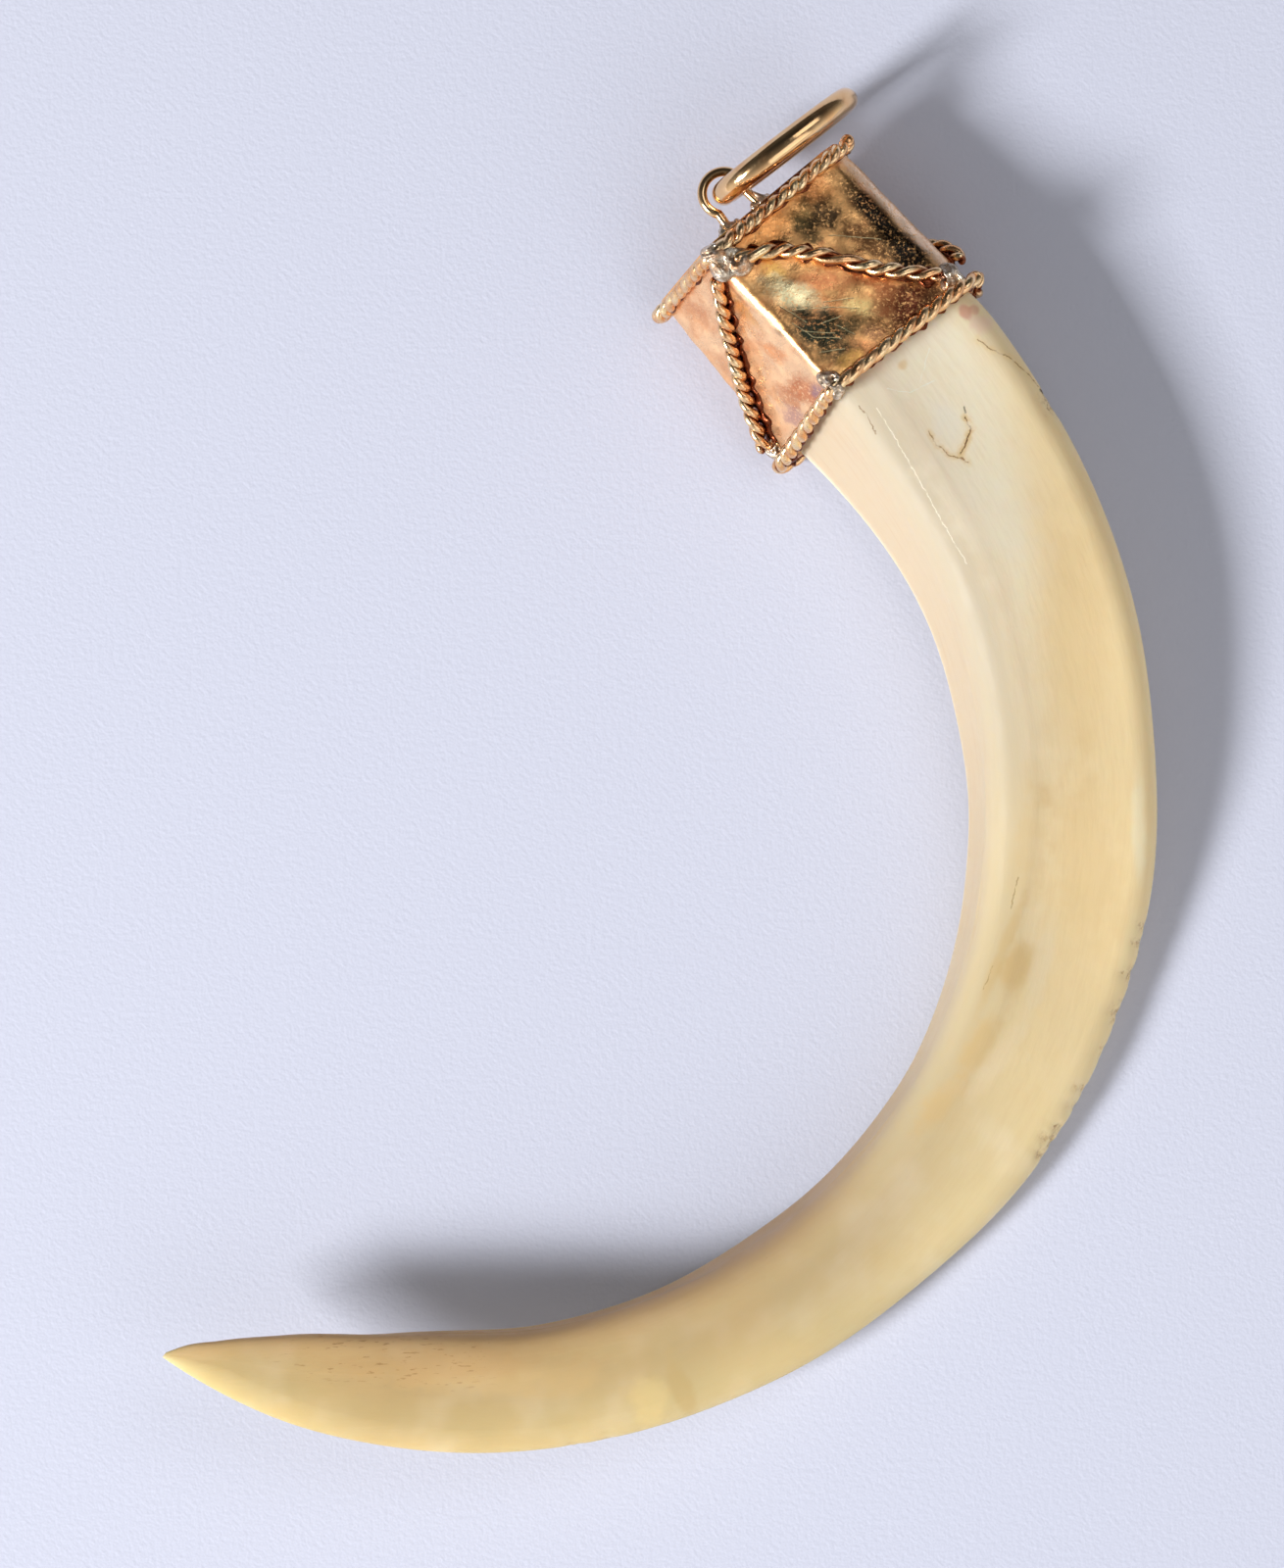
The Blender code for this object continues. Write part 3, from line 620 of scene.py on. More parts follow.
SHEET = 0.35
SLEEVE_FROM = -14.0
SLEEVE_TO = 0.3
MOUTH_SKEW = 0.09
MOUTH_FOLDS = ((0.0, 0.0), (12.0, -3.2), (13.4, -4.6), (12.8, -7.8), (-4.9, -11.3), (-6.15, -10.05))
TOP_FOLDS = ((-0.3, -0.4), (11.3, -3.4), (12.6, -4.7), (12.05, -7.2), (-4.3, -10.3), (-5.5, -9.2))
FOLD_REACH = (0.38, 0.28, 0.6, 0.6, 0.5, 0.5)
FOLD_REACH_AT_TOP = (1.25, 0.28, 0.6, 0.6, 0.5, 0.5)
FOLD_POINTS = 9
FACE_POINTS = (56, 4, 12, 50, 4, 48)
PLATE_THICKNESS = 0.45
JOINT_GAP = 0.12


def polygon_at(along):
    """The sleeve's fold points at a distance along the cap's axis."""
    share = (along - SLEEVE_FROM) / (0.0 - SLEEVE_FROM)
    return np.array(TOP_FOLDS) + (np.array(MOUTH_FOLDS) - np.array(TOP_FOLDS)) * share


def offset_polygon(points, distance):
    """A clockwise outline moved outwards by a distance, its corners kept sharp."""
    before = unit(points - np.roll(points, 1, axis=0))
    after = unit(np.roll(points, -1, axis=0) - points)
    normal_before = np.stack((-before[:, 1], before[:, 0]), axis=1)
    normal_after = np.stack((-after[:, 1], after[:, 0]), axis=1)
    middle = unit(normal_before + normal_after)
    return points + middle * (distance / (middle * normal_before).sum(axis=1, keepdims=True))


def in_plane(points, along, skew=0.0):
    """Outline points at one distance along the cap's axis, reaching further the lower they are."""
    return np.column_stack((along - skew * points[:, 1], points))


def folded_outline(along, inset, bulge=0.0):
    """The sleeve's outline with rounded folds, moved in by the sheet's thickness or less."""
    corners = offset_polygon(polygon_at(along), -inset)[None]
    share = np.clip(along / SLEEVE_FROM, 0, 1)
    reach = (np.array(FOLD_REACH) * (1 - share) + np.array(FOLD_REACH_AT_TOP) * share) * (1 - inset)
    return rounded_outline(corners, reach, FOLD_POINTS, FACE_POINTS, bulge)[0]


def sleeve_mesh():
    """Ruled from the top outline to the mouth outline, outside, over the rounded lip, and back inside."""
    share = np.linspace(0.0, 1.0, 64)[:, None, None]
    walls = []
    for inset, bulge in ((0.0, 0.006), (SHEET, 0.0)):
        top = in_plane(folded_outline(SLEEVE_FROM, inset, bulge), SLEEVE_FROM)
        mouth = in_plane(folded_outline(SLEEVE_TO, inset, bulge), SLEEVE_TO, MOUTH_SKEW)
        walls.append(top[None] * (1 - share) + mouth[None] * share)
    outer, inner = walls
    girth = girth_of(outer)
    run = outer[..., 0]
    dent = 0.035 * waves(run, girth[:, :-1], 4.5, 11) + 0.014 * waves(run, girth[:, :-1], 1.6, 12)
    ahead = np.roll(outer, -1, axis=1) - np.roll(outer, 1, axis=1)
    ahead[..., 0] = 0.0
    normal = unit(np.stack((0 * run, -ahead[..., 2], ahead[..., 1]), axis=-1))
    calm = np.clip(np.minimum(share[..., 0] * 14, (1 - share[..., 0]) * 14), 0, 1)
    outer = outer + normal * (dent * calm)[..., None]
    lip_mouth = (outer[-1:] + inner[-1:]) / 2 + np.array((0.1, 0.0, 0.0))
    lip_top = (outer[:1] + inner[:1]) / 2 - np.array((0.05, 0.0, 0.0))
    rings = np.concatenate((lip_top, outer, lip_mouth, inner[::-8]))
    fold = girth[:, FOLD_POINTS // 2, None]
    place = girth - fold
    half = girth[:, -1:] - (girth[:, -1:] - fold) * 0.5
    place = np.where(girth > half + 6.0, place - girth[:, -1:], place)
    uv = np.stack((np.broadcast_to(run[:, :1], place.shape), place), axis=-1)
    uv = np.concatenate((uv[:1], uv, uv[-1:], uv[::-8]))
    return skin("cap_sheet", from_cap(rings), uv, loop=True)


def plate_mesh():
    """Flat outlines from face to face, with a small bevel at each edge."""
    near = SLEEVE_FROM - JOINT_GAP * 0.4
    far = SLEEVE_FROM - JOINT_GAP - PLATE_THICKNESS
    levels = ((near, 0.08), (near - 0.06, 0.0), (far + 0.08, 0.0), (far + 0.02, 0.05), (far, 0.14))
    rings = np.stack([in_plane(folded_outline(SLEEVE_FROM, inset), along) for along, inset in levels])
    uv = np.stack((np.broadcast_to(rings[..., 1][:, :1], girth_of(rings).shape), girth_of(rings)), axis=-1)
    return skin("cap_plate", from_cap(rings), uv)


# Patches on the sleeve, as run along the cap and place round it from the fold in millimetres:
# centre, size, turn in degrees, raggedness, colour, strength. Copper, rosy and red-brown ones are
# tarnish; the pale yellow ones by the front fold are painted highlights, and the near-black ones by
# the right-hand bend are a painted dark reflection.
SHEET_PATCHES = (
    ((-12.7, 4.2), (2.0, 3.4), 0, 0.30, (255, 176, 104), 0.95),
    ((-12.4, 8.6), (1.9, 2.6), 0, 0.35, (176, 112, 58), 0.75),
    # Pale yellow by the front fold: painted highlight.
    ((-9.8, 2.6), (1.6, 1.1), 0, 0.35, (255, 204, 110), 0.70),
    ((-7.1, 4.7), (3.4, 0.9), 52, 0.35, (214, 128, 84), 0.75),
    ((-11.6, 7.4), (1.2, 1.6), 0, 0.50, (96, 84, 46), 0.75),
    ((-10.6, 6.7), (1.5, 1.0), 20, 0.50, (56, 54, 32), 0.85),
    ((-7.2, 9.7), (3.8, 1.1), 12, 0.35, (96, 60, 32), 0.90),
    ((-10.8, 8.6), (2.0, 1.6), 0, 0.45, (56, 42, 26), 0.95),
    # Near-black beside the right-hand bend: painted dark reflection.
    ((-8.0, 11.6), (5.6, 1.3), 2, 0.12, (14, 10, 6), 1.0),
    ((-4.4, 11.5), (3.2, 1.9), 10, 0.15, (16, 11, 6), 1.0),
    ((-7.0, 13.35), (9.5, 0.85), 2, 0.10, (255, 222, 190), 0.95),
    ((-5.4, 7.6), (3.0, 0.9), 22, 0.35, (196, 108, 62), 0.80),
    # Pale yellow by the front fold: painted highlight.
    ((-7.6, 2.4), (3.0, 1.3), 24, 0.30, (255, 240, 190), 1.0),
    ((-3.4, 6.0), (2.0, 0.9), 40, 0.35, (250, 222, 150), 0.75),
    ((-3.9, 2.0), (3.7, 2.2), 14, 0.38, (44, 50, 38), 1.0),
    ((-3.0, 4.3), (1.7, 1.0), 40, 0.45, (66, 64, 42), 0.80),
    ((-1.4, 8.6), (2.0, 3.3), 14, 0.34, (94, 44, 24), 1.0),
    ((-2.7, 7.4), (1.3, 2.0), 40, 0.45, (140, 80, 46), 0.80),
    ((-0.6, 10.6), (1.2, 1.7), 10, 0.30, (78, 42, 22), 0.92),
    ((-0.7, 2.3), (0.9, 1.4), 0, 0.40, (244, 186, 104), 0.80),
    ((-1.3, 5.0), (1.0, 0.9), 0, 0.40, (128, 82, 62), 0.70),
    ((-1.5, -3.0), (1.5, 2.4), -30, 0.45, (196, 116, 76), 0.80),
    ((-0.9, -2.0), (0.9, 1.0), -30, 0.45, (176, 140, 146), 0.75),
    ((-1.4, -6.6), (1.1, 1.6), -30, 0.45, (180, 132, 134), 0.65),
    ((-2.4, -5.0), (1.4, 1.6), -30, 0.45, (204, 122, 76), 0.70),
    ((-9.6, -1.9), (2.4, 0.8), 0, 0.45, (232, 172, 96), 0.60),
    ((-5.4, -2.6), (1.3, 1.0), 30, 0.50, (230, 140, 78), 0.60),
    ((-11.6, -7.0), (2.2, 2.0), 0, 0.45, (220, 146, 96), 0.55),
    ((-6.0, -9.6), (4.5, 1.6), 0, 0.45, (226, 158, 104), 0.50),
)
SHEET_SCRATCHES = (
    ((-6.6, 1.6), (-5.0, 4.0), (-3.6, 5.6)), ((-5.6, 3.9), (-4.4, 5.9)), ((-4.9, 1.0), (-3.2, 2.9)),
    ((-7.4, 1.1), (-5.2, 1.8)), ((-3.6, 3.4), (-2.2, 4.0)), ((-9.3, 7.8), (-6.6, 10.6)),
    ((-5.8, 0.9), (-4.0, 1.4), (-2.6, 3.0)), ((-4.4, 2.6), (-3.9, 4.2)), ((-2.8, 1.0), (-1.8, 2.6)),
)
# The heat stain beside the side wire, as points run along the cap and round it
HEAT_STAIN = ((-11.9, -0.9), (-8.0, -4.3), (-4.2, -7.6), (-0.6, -10.4))


def speckled(tree, place, size, low, high, seed):
    """Fine specks as a mask: small noise cut between two levels."""
    return between(tree, cloud(tree, place, size, 3.0, 0.7, seed), low, high)


def sheet_finish():
    """Yellow gold with rosy and copper tarnish, dark speckled patches, painted highlights, a painted dark
    reflection and painted glints, scratches and fine pitting.
    """
    material, tree, shader, place = finish_named("gold_sheet", Metallic=0.82, Roughness=0.3)
    surface = add_node(tree, "UVMap", uv_map="surface_mm").outputs[0]
    round_it = add_node(tree, "SeparateXYZ", {0: surface}).outputs[1]
    front = between(tree, round_it, -0.15, 0.15)
    colour = laid_over(tree, front, tone(248, 204, 160), tone(250, 190, 124))
    rosy = between(tree, cloud(tree, place, 2.6, 4.0, 0.6, 1.0), 0.45, 0.68)
    rosy = times(tree, rosy, between(tree, front, 0.0, 1.0, 0.40, 0.65))
    colour = laid_over(tree, rosy, colour, tone(226, 144, 92))
    copper = between(tree, cloud(tree, place, 1.1, 4.0, 0.7, 2.0), 0.56, 0.74)
    copper = times(tree, copper, between(tree, front, 0.0, 1.0, 0.30, 0.60))
    colour = laid_over(tree, copper, colour, tone(190, 100, 58))
    lumps = lumps_over(tree, place, 1.1, 5.0)
    shake = shake_over(tree, surface, 0.7)
    flecks = speckled(tree, place, 0.24, 0.30, 0.50, 9.0)
    # The patches: tarnish, painted highlights and a painted dark reflection, all broken up by flecks.
    colour = stained(tree, colour, SHEET_PATCHES, surface, lumps, flecks)
    # Dark flecks over the sheet.
    flecks = speckled(tree, place, 0.13, 0.56, 0.72, 4.0)
    colour = laid_over(tree, times(tree, flecks, 0.40), colour, tone(110, 70, 36))
    # Painted glints: pale specks where a finely dented surface would catch the light.
    bright = speckled(tree, place, 0.15, 0.62, 0.74, 5.0)
    colour = laid_over(tree, times(tree, bright, 0.45), colour, tone(255, 236, 170))
    stain = times(tree, crack_path(tree, surface, shake, HEAT_STAIN, 0.75, 0.9), flecks)
    colour = laid_over(tree, stain, colour, tone(128, 62, 42))
    lilac = between(tree, cloud(tree, place, 0.5, 3.0, 0.6, 8.0), 0.56, 0.66)
    colour = laid_over(tree, times(tree, stain, lilac), colour, tone(176, 140, 156))
    scratch = None
    for points in SHEET_SCRATCHES:
        line = crack_path(tree, surface, shake, points, 0.06, 0.25)
        scratch = line if scratch is None else figure(tree, "MAXIMUM", scratch, line)
    colour = laid_over(tree, times(tree, scratch, 0.75), colour, tone(255, 240, 186))
    tree.links.new(colour, shader.inputs["Base Color"])
    dull = between(tree, cloud(tree, place, 1.4, 4.0, 0.65, 3.0), 0.35, 0.7, 0.24, 0.44)
    tree.links.new(dull, shader.inputs["Roughness"])
    relief = times(tree, cloud(tree, place, 0.22, 3.0, 0.6, 6.0), 0.5)
    relief = figure(tree, "ADD", relief, cloud(tree, place, 1.0, 2.0, 0.5, 7.0))
    relief = figure(tree, "MULTIPLY_ADD", scratch, -0.4, relief)
    raised(tree, shader, relief, 0.35, 0.00012)
    return material


GOLD_SHEET = sheet_finish()
add_piece("cap_sheet", sleeve_mesh(), GOLD_SHEET, stands_for=("cap_sleeve",))
add_piece("cap_plate", plate_mesh(), GOLD_SHEET, stands_for=("cap_top_plate",))

# The twisted wire trim
# Two gold strands twisted together and soldered on: round the top rim, round the mouth rim, and
# slantwise over the front, the side and the back. Solder has run along under each of them.

STRAND_RADIUS = 0.35
STRAND_OFFSET = 0.27
ROPE_STANDOFF = 0.74
CORNER_BEND = 0.9
RIM_END_SHARE = 0.2
TOP_ROPE_AT = -13.75
MOUTH_ROPE_AT = 0.1
STEPS_PER_TURN = 26
STRAND_SIDES = 14


def rounded_path(points, bend):
    """An open path with a short quadratic arc in place of each corner."""
    rows = [points[0]]
    t = np.linspace(0.0, 1.0, 9)[:, None]
    for before, corner, after in zip(points[:-2], points[1:-1], points[2:]):
        back = before - corner
        ahead = after - corner
        start = corner + unit(back) * min(bend, 0.45 * np.linalg.norm(back))
        end = corner + unit(ahead) * min(bend, 0.45 * np.linalg.norm(ahead))
        rows.extend((1 - t) ** 2 * start + 2 * t * (1 - t) * corner + t * t * end)
    rows.append(points[-1])
    return np.array(rows)


def evenly(path, step):
    """The path read again at equal steps, and the distance of each point along it."""
    length = np.concatenate(([0.0], np.cumsum(np.linalg.norm(np.diff(path, axis=0), axis=1))))
    at = np.linspace(0.0, length[-1], int(round(length[-1] / step)) + 1)
    return np.stack([np.interp(at, length, path[:, k]) for k in range(3)], axis=1), at


def rim_path(along, skew=0.0, standoff=ROPE_STANDOFF):
    """Round the sleeve just outside its wall, from the right-hand corner over the front."""
    outline = offset_polygon(polygon_at(along), standoff)
    right, fold, keel, foot = outline[2], outline[[1, 0]], outline[[5, 4]], outline[3]
    last = foot + (right - foot) * RIM_END_SHARE
    points = np.concatenate(([right], fold, keel, [foot, last]))
    return rounded_path(from_cap(in_plane(points, along, skew)), CORNER_BEND)


def on_face(points, fold_a, fold_b, standoff):
    """Points given along the cap and as a share of one face's width, lifted off that face."""
    rows = []
    for along, share in points:
        outline = offset_polygon(polygon_at(along), standoff)
        place = outline[fold_a] + (outline[fold_b] - outline[fold_a]) * share
        rows.append((along, place[0], place[1]))
    return rows


def curved_path(rows):
    """A smooth curve through the rows, in world millimetres."""
    rows = np.array(rows)
    at = np.concatenate(([0.0], np.cumsum(np.linalg.norm(np.diff(rows, axis=0), axis=1))))
    return from_cap(smooth_curve(np.linspace(0.0, at[-1], 80), at, rows))


def framed(points):
    """Tangent and two cross directions at each point of a path, set square to the cap's axis."""
    tangent = unit(np.gradient(points, axis=0))
    side = unit(np.cross(tangent, cap_axes()[0]))
    return tangent, side, np.cross(side, tangent)


def tube(points, radius, side, sides=STRAND_SIDES):
    """Circles square to a path, in step with a given side direction."""
    tangent = unit(np.gradient(points, axis=0))
    first = unit(side - (side * tangent).sum(axis=1, keepdims=True) * tangent)
    second = np.cross(tangent, first)
    turn = np.linspace(0.0, 2 * math.pi, sides, endpoint=False)[None, :, None]
    radius = np.broadcast_to(radius, len(points))[:, None, None]
    return points[:, None] + radius * (np.cos(turn) * first[:, None] + np.sin(turn) * second[:, None])


def join(meshes, name):
    """Several meshes as one, marks and faces kept."""
    holder = [bpy.data.objects.new(f"{name}_{k}", mesh) for k, mesh in enumerate(meshes)]
    for piece in holder:
        bpy.context.scene.collection.objects.link(piece)
    with bpy.context.temp_override(active_object=holder[0], selected_editable_objects=holder):
        bpy.ops.object.join()
    mesh = holder[0].data
    bpy.data.objects.remove(holder[0])
    mesh.name = name
    return mesh


def twisted_wire(name, path, pitch, melted):
    """Two strands on opposite sides of a path, turning once a pitch; melted where the torch stayed."""
    points, at = evenly(path, pitch / STEPS_PER_TURN)
    side, other = framed(points)[1:]
    closing = np.clip(np.minimum(at, at[-1] - at) / 0.45, 0.02, 1.0)
    drawn = np.sqrt(1 - (1 - closing) ** 2)
    fused = np.zeros(len(at))
    for start, end, share in melted:
        fused = np.maximum(fused, share * np.clip(np.minimum(at - start, end - at) / 1.2 + 0.5, 0, 1))
    offset = STRAND_OFFSET * (1 - 0.55 * fused) * drawn * (1 + 0.06 * waves(at, 0.0, 3.0, len(points), 6))
    radius = STRAND_RADIUS * (1 + 0.25 * fused) * drawn * (1 + 0.04 * waves(at, 0.0, 2.0, len(points) + 1, 6))
    slip = 0.35 * waves(at, 0.0, 7.0, len(points) + 2, 5)
    strands = []
    for start in (0.0, math.pi):
        angle = (2 * math.pi * at / pitch + start + slip)[:, None]
        outward = np.cos(angle) * side + np.sin(angle) * other
        rings = tube(points + offset[:, None] * outward, radius, outward)
        reach = np.linalg.norm(rings - points[:, None], axis=2)
        recess = np.clip(1 - (reach - 0.30) / 0.26, 0, 1) * (1 - 0.6 * fused[:, None])
        length = np.broadcast_to(at[:, None], (len(at), STRAND_SIDES + 1))
        around = np.linspace(0, 2 * math.pi * STRAND_RADIUS, STRAND_SIDES + 1)[None]
        turn = np.broadcast_to(around, length.shape)
        strands.append(skin(name, rings, np.stack((length, turn), axis=-1), {"recess": recess}))
    return join(strands, name)


def solder_seam(name, path, width, height, seed):
    """A low ragged strip along a path: an oval section whose width and height wander."""
    points, at = evenly(path, 0.16)
    side, other = framed(points)[1:]
    closing = np.sqrt(np.clip(np.minimum(at, at[-1] - at) / 0.5, 0.01, 1.0))
    wide = width * closing * (1 + 0.28 * waves(at, 0.0, 1.4, seed, 8))
    tall = height * closing * (1 + 0.30 * waves(at, 0.0, 1.1, seed + 1, 8))
    turn = np.linspace(0.0, 2 * math.pi, 16, endpoint=False)[None, :, None]
    rings = points[:, None] + np.cos(turn) * wide[:, None, None] * other[:, None]
    rings = rings + np.sin(turn) * tall[:, None, None] * side[:, None]
    # The whole seam takes the dark tone: tarnish and painted shade beneath the wire.
    return skin(name, rings, marks={"recess": np.full(rings.shape[:2], 0.9)})


FRONT_ROPE = (((-12.3, 0.10), (-11.2, 0.30), (-8.4, 0.52), (-4.8, 0.72), (-1.3, 0.97)), 0, 1)
SIDE_ROPE = (((-12.3, 0.12), (-8.2, 0.50), (-4.3, 0.78), (-0.6, 0.98)), 0, 5)
BACK_ROPE = (((-12.3, 0.92), (-8.0, 0.50), (-4.4, 0.04)), 3, 4)
BACK_ROPE_END = (((-2.9, 0.5), (-1.3, 0.15)), 2, 3)


def rope_finish(name, body, bright, groove_shade):
    """Rosy gold wire: a paler tone laid by noise as painted highlight, and red-brown in the grooves between
    the strands as painted shade with tarnish.
    """
    material, tree, shader, place = finish_named(name, Metallic=1.0, Roughness=0.3)
    recess = attribute(tree, "recess")
    # A paler tone laid by noise over the body: painted highlight.
    shade = between(tree, cloud(tree, place, 1.3, 4.0, 0.6, 2.0), 0.35, 0.7)
    colour = laid_over(tree, shade, tone(*body), tone(*bright))
    # Darker towards the axis between the strands: painted shade in the grooves, with tarnish.
    deep = figure(tree, "MULTIPLY_ADD", cloud(tree, place, 0.4, 3.0, 0.6, 1.0), 0.5, recess)
    colour = laid_over(tree, between(tree, deep, 0.45, 1.05), colour, tone(*groove_shade))
    dirt = speckled(tree, place, 0.2, 0.60, 0.75, 3.0)
    colour = laid_over(tree, times(tree, dirt, 0.5), colour, tone(150, 92, 58))
    tree.links.new(colour, shader.inputs["Base Color"])
    dull = between(tree, cloud(tree, place, 0.5, 3.0, 0.6, 4.0), 0.35, 0.7, 0.16, 0.34)
    tree.links.new(dull, shader.inputs["Roughness"])
    raised(tree, shader, cloud(tree, place, 0.18, 2.0, 0.5, 5.0), 0.25, 0.00008)
    return material


# Tones: body, painted highlight, and painted shade with tarnish for the grooves.
ROSE_WIRE = rope_finish("rose_gold_wire", (238, 180, 128), (255, 228, 182), (142, 80, 50))
# Seam under each wire: dark red-brown tarnish and painted shade.
TARNISHED_SHADED_SEAM = rope_finish("tarnished_shaded_solder", (176, 104, 70), (206, 140, 96), (112, 58, 36))

SEAM_HEIGHT = 0.20


def top_line(standoff):
    """Round the top rim."""
    return rim_path(TOP_ROPE_AT, 0.0, standoff)


def mouth_line(standoff):
    """Round the mouth rim."""
    return rim_path(MOUTH_ROPE_AT, MOUTH_SKEW, standoff)


def front_line(standoff):
    """Slantwise over the front face."""
    return curved_path(on_face(*FRONT_ROPE, standoff))


def side_line(standoff):
    """Slantwise down the side face."""
    return curved_path(on_face(*SIDE_ROPE, standoff))


def back_line(standoff):
    """Across the back face and on to the bend at the right-hand edge."""
    return curved_path(on_face(*BACK_ROPE, standoff) + on_face(*BACK_ROPE_END, standoff))


# Each wire's line, pitch, melted stretches with a share, its seam's standoff, and the seam's width
for wire_name, line, pitch, melted, seam_standoff, seam_width in (
    ("rope_top_rim", top_line, 2.2, ((0.0, 12.0, 0.25), (13.0, 24.0, 0.95)), 0.10, 0.45),
    ("rope_mouth_rim", mouth_line, 2.6, ((0.0, 9.0, 0.45), (9.5, 15.5, 0.95), (15.5, 24.0, 0.45)),
     0.10, 0.45),
    ("rope_front_diagonal", front_line, 3.4, ((0.0, 2.6, 0.7),), 0.05, 0.62),
    ("rope_side_diagonal", side_line, 2.4, ((0.0, 2.0, 0.6),), 0.05, 0.62),
    ("rope_back_diagonal", back_line, 2.6, (), 0.05, 0.62),
):
    strands = twisted_wire(wire_name + "_strands", line(ROPE_STANDOFF), pitch, melted)
    add_piece(wire_name + "_strands", strands, ROSE_WIRE, stands_for=(wire_name,))
    seam = solder_seam(wire_name + "_seam", line(seam_standoff), seam_width, SEAM_HEIGHT, len(wire_name))
    add_piece(wire_name + "_seam", seam, TARNISHED_SHADED_SEAM)

# The trim's loose ends: a bead where the top wire was cut, and a curl where the mouth wire was.
CURL_TURN = np.linspace(-0.6, 4.3, 40)
CURL_CENTRE = (0.55, 13.7, -3.9)
CURL_REACH = (0.48, 0.48, 0.08)
CURL = np.array(CURL_CENTRE) + np.array(CURL_REACH) * np.column_stack(
    (np.cos(CURL_TURN), np.sin(CURL_TURN), CURL_TURN))
BEAD_RISE = np.linspace(0.0, 1.0, 14)
BEAD = np.array((-13.75, 13.2, -4.9)) + BEAD_RISE[:, None] * np.array((-0.25, 0.15, 1.5))
for end_name, end_path, end_radius in (
    ("mouth_wire_curl", from_cap(CURL), 0.19 + 0.05 * (CURL_TURN > 4.0)),
    ("top_wire_bead", from_cap(BEAD), 0.52 * np.sqrt(1 - (1.98 * np.abs(BEAD_RISE - 0.5)) ** 6)),
):
    end_side = np.broadcast_to(np.array(cap_axes()[0]), end_path.shape)
    add_piece(end_name, skin(end_name, tube(end_path, end_radius, end_side, 24)), ROSE_WIRE)

# The solder
# Silver-grey solder pooled where the wires meet the folds and at the eyelet's feet, brushed over
# in places so that it lies in soft lumps.

PLATE_FACE = SLEEVE_FROM - JOINT_GAP - PLATE_THICKNESS


def solder_pool(name, centre, facing, size, height, seed):
    """A lens on a surface: rings from its crown out to a wandering rim, then in under it."""
    facing = unit(np.array(facing, float))
    first = unit(np.cross(facing, np.array(cap_axes()[0]) + np.array((0.0, 0.0, 0.3))))
    second = np.cross(facing, first)
    turn = np.linspace(0.0, 2 * math.pi, 40, endpoint=False)[None]
    upper_rings = 18
    share = np.concatenate((np.linspace(0.04, 1.0, upper_rings), np.linspace(0.95, 0.05, 5)))[:, None]
    rim = 1 + 0.16 * np.cos(2 * turn + seed) + 0.10 * np.cos(3 * turn + 2.1 * seed)
    rim = rim + 0.05 * np.cos(5 * turn + seed)
    lumps = 1 + 0.22 * waves(share * np.cos(turn) * 2, share * np.sin(turn) * 2, 1.5, seed, 8)
    crown = height * np.sqrt(np.clip(1 - share ** 2, 0, 1)) * lumps
    rise = np.where(np.arange(len(share))[:, None] < upper_rings, crown, -0.12)
    x = (share * rim * np.cos(turn) * size[0])[..., None]
    y = (share * rim * np.sin(turn) * size[1])[..., None]
    rings = np.array(centre) + x * first + y * second + rise[..., None] * facing
    return skin(name, rings, marks={"recess": np.clip(1.4 * share - 0.4, 0, 1) + 0 * turn})


def solder_finish():
    """Grey solder: bright where it was brushed, dark with flux and soot in small patches."""
    material, tree, shader, place = finish_named("silver_solder", Metallic=1.0, Roughness=0.3)
    shade = between(tree, cloud(tree, place, 0.7, 4.0, 0.65, 1.0), 0.38, 0.66)
    colour = laid_over(tree, shade, tone(156, 136, 116), tone(246, 232, 212))
    rosy = between(tree, cloud(tree, place, 1.2, 3.0, 0.6, 2.0), 0.5, 0.7)
    colour = laid_over(tree, times(tree, rosy, 0.8), colour, tone(220, 164, 118))
    soot = between(tree, cloud(tree, place, 0.35, 4.0, 0.7, 3.0), 0.56, 0.70)
    colour = laid_over(tree, times(tree, soot, 0.8), colour, tone(46, 38, 32))
    tree.links.new(colour, shader.inputs["Base Color"])
    tree.links.new(between(tree, shade, 0.0, 1.0, 0.45, 0.22), shader.inputs["Roughness"])
    raised(tree, shader, cloud(tree, place, 0.3, 3.0, 0.6, 4.0), 0.5, 0.00015)
    return material


SILVER_SOLDER = solder_finish()
UP = tuple(cap_axes()[2])
BACK = tuple(-cap_axes()[0])
for pool_name, spot, facing, size, height, seed in (
    ("solder_fold_top", (-12.5, 0.3, -0.15), UP, (1.5, 1.7), 0.70, 1),
    ("solder_fold_rim", (-13.7, -0.2, 0.2), UP, (0.9, 0.9), 0.75, 2),
    ("solder_fold_mouth", (-0.3, 0.1, 0.45), UP, (1.0, 1.1), 0.70, 3),
    ("solder_right_mouth", (-0.7, 12.3, -3.2), UP, (1.1, 1.1), 0.75, 4),
    ("solder_left_mouth", (-0.3, -6.1, -9.9), UP, (0.8, 1.0), 0.6, 5),
    ("solder_eyelet_left", (PLATE_FACE, 2.0, -4.5), BACK, (0.95, 0.85), 0.9, 6),
    ("solder_eyelet_right", (PLATE_FACE, 5.2, -4.5), BACK, (0.85, 0.85), 0.8, 7),
):
    pool = solder_pool(pool_name, from_cap(spot), facing, size, height, seed)
    add_piece(pool_name, pool, SILVER_SOLDER)

# The eyelet and the hanging ring
# A loop of round gold wire stands on the plate, and a thick polished ring hangs in it and swings.

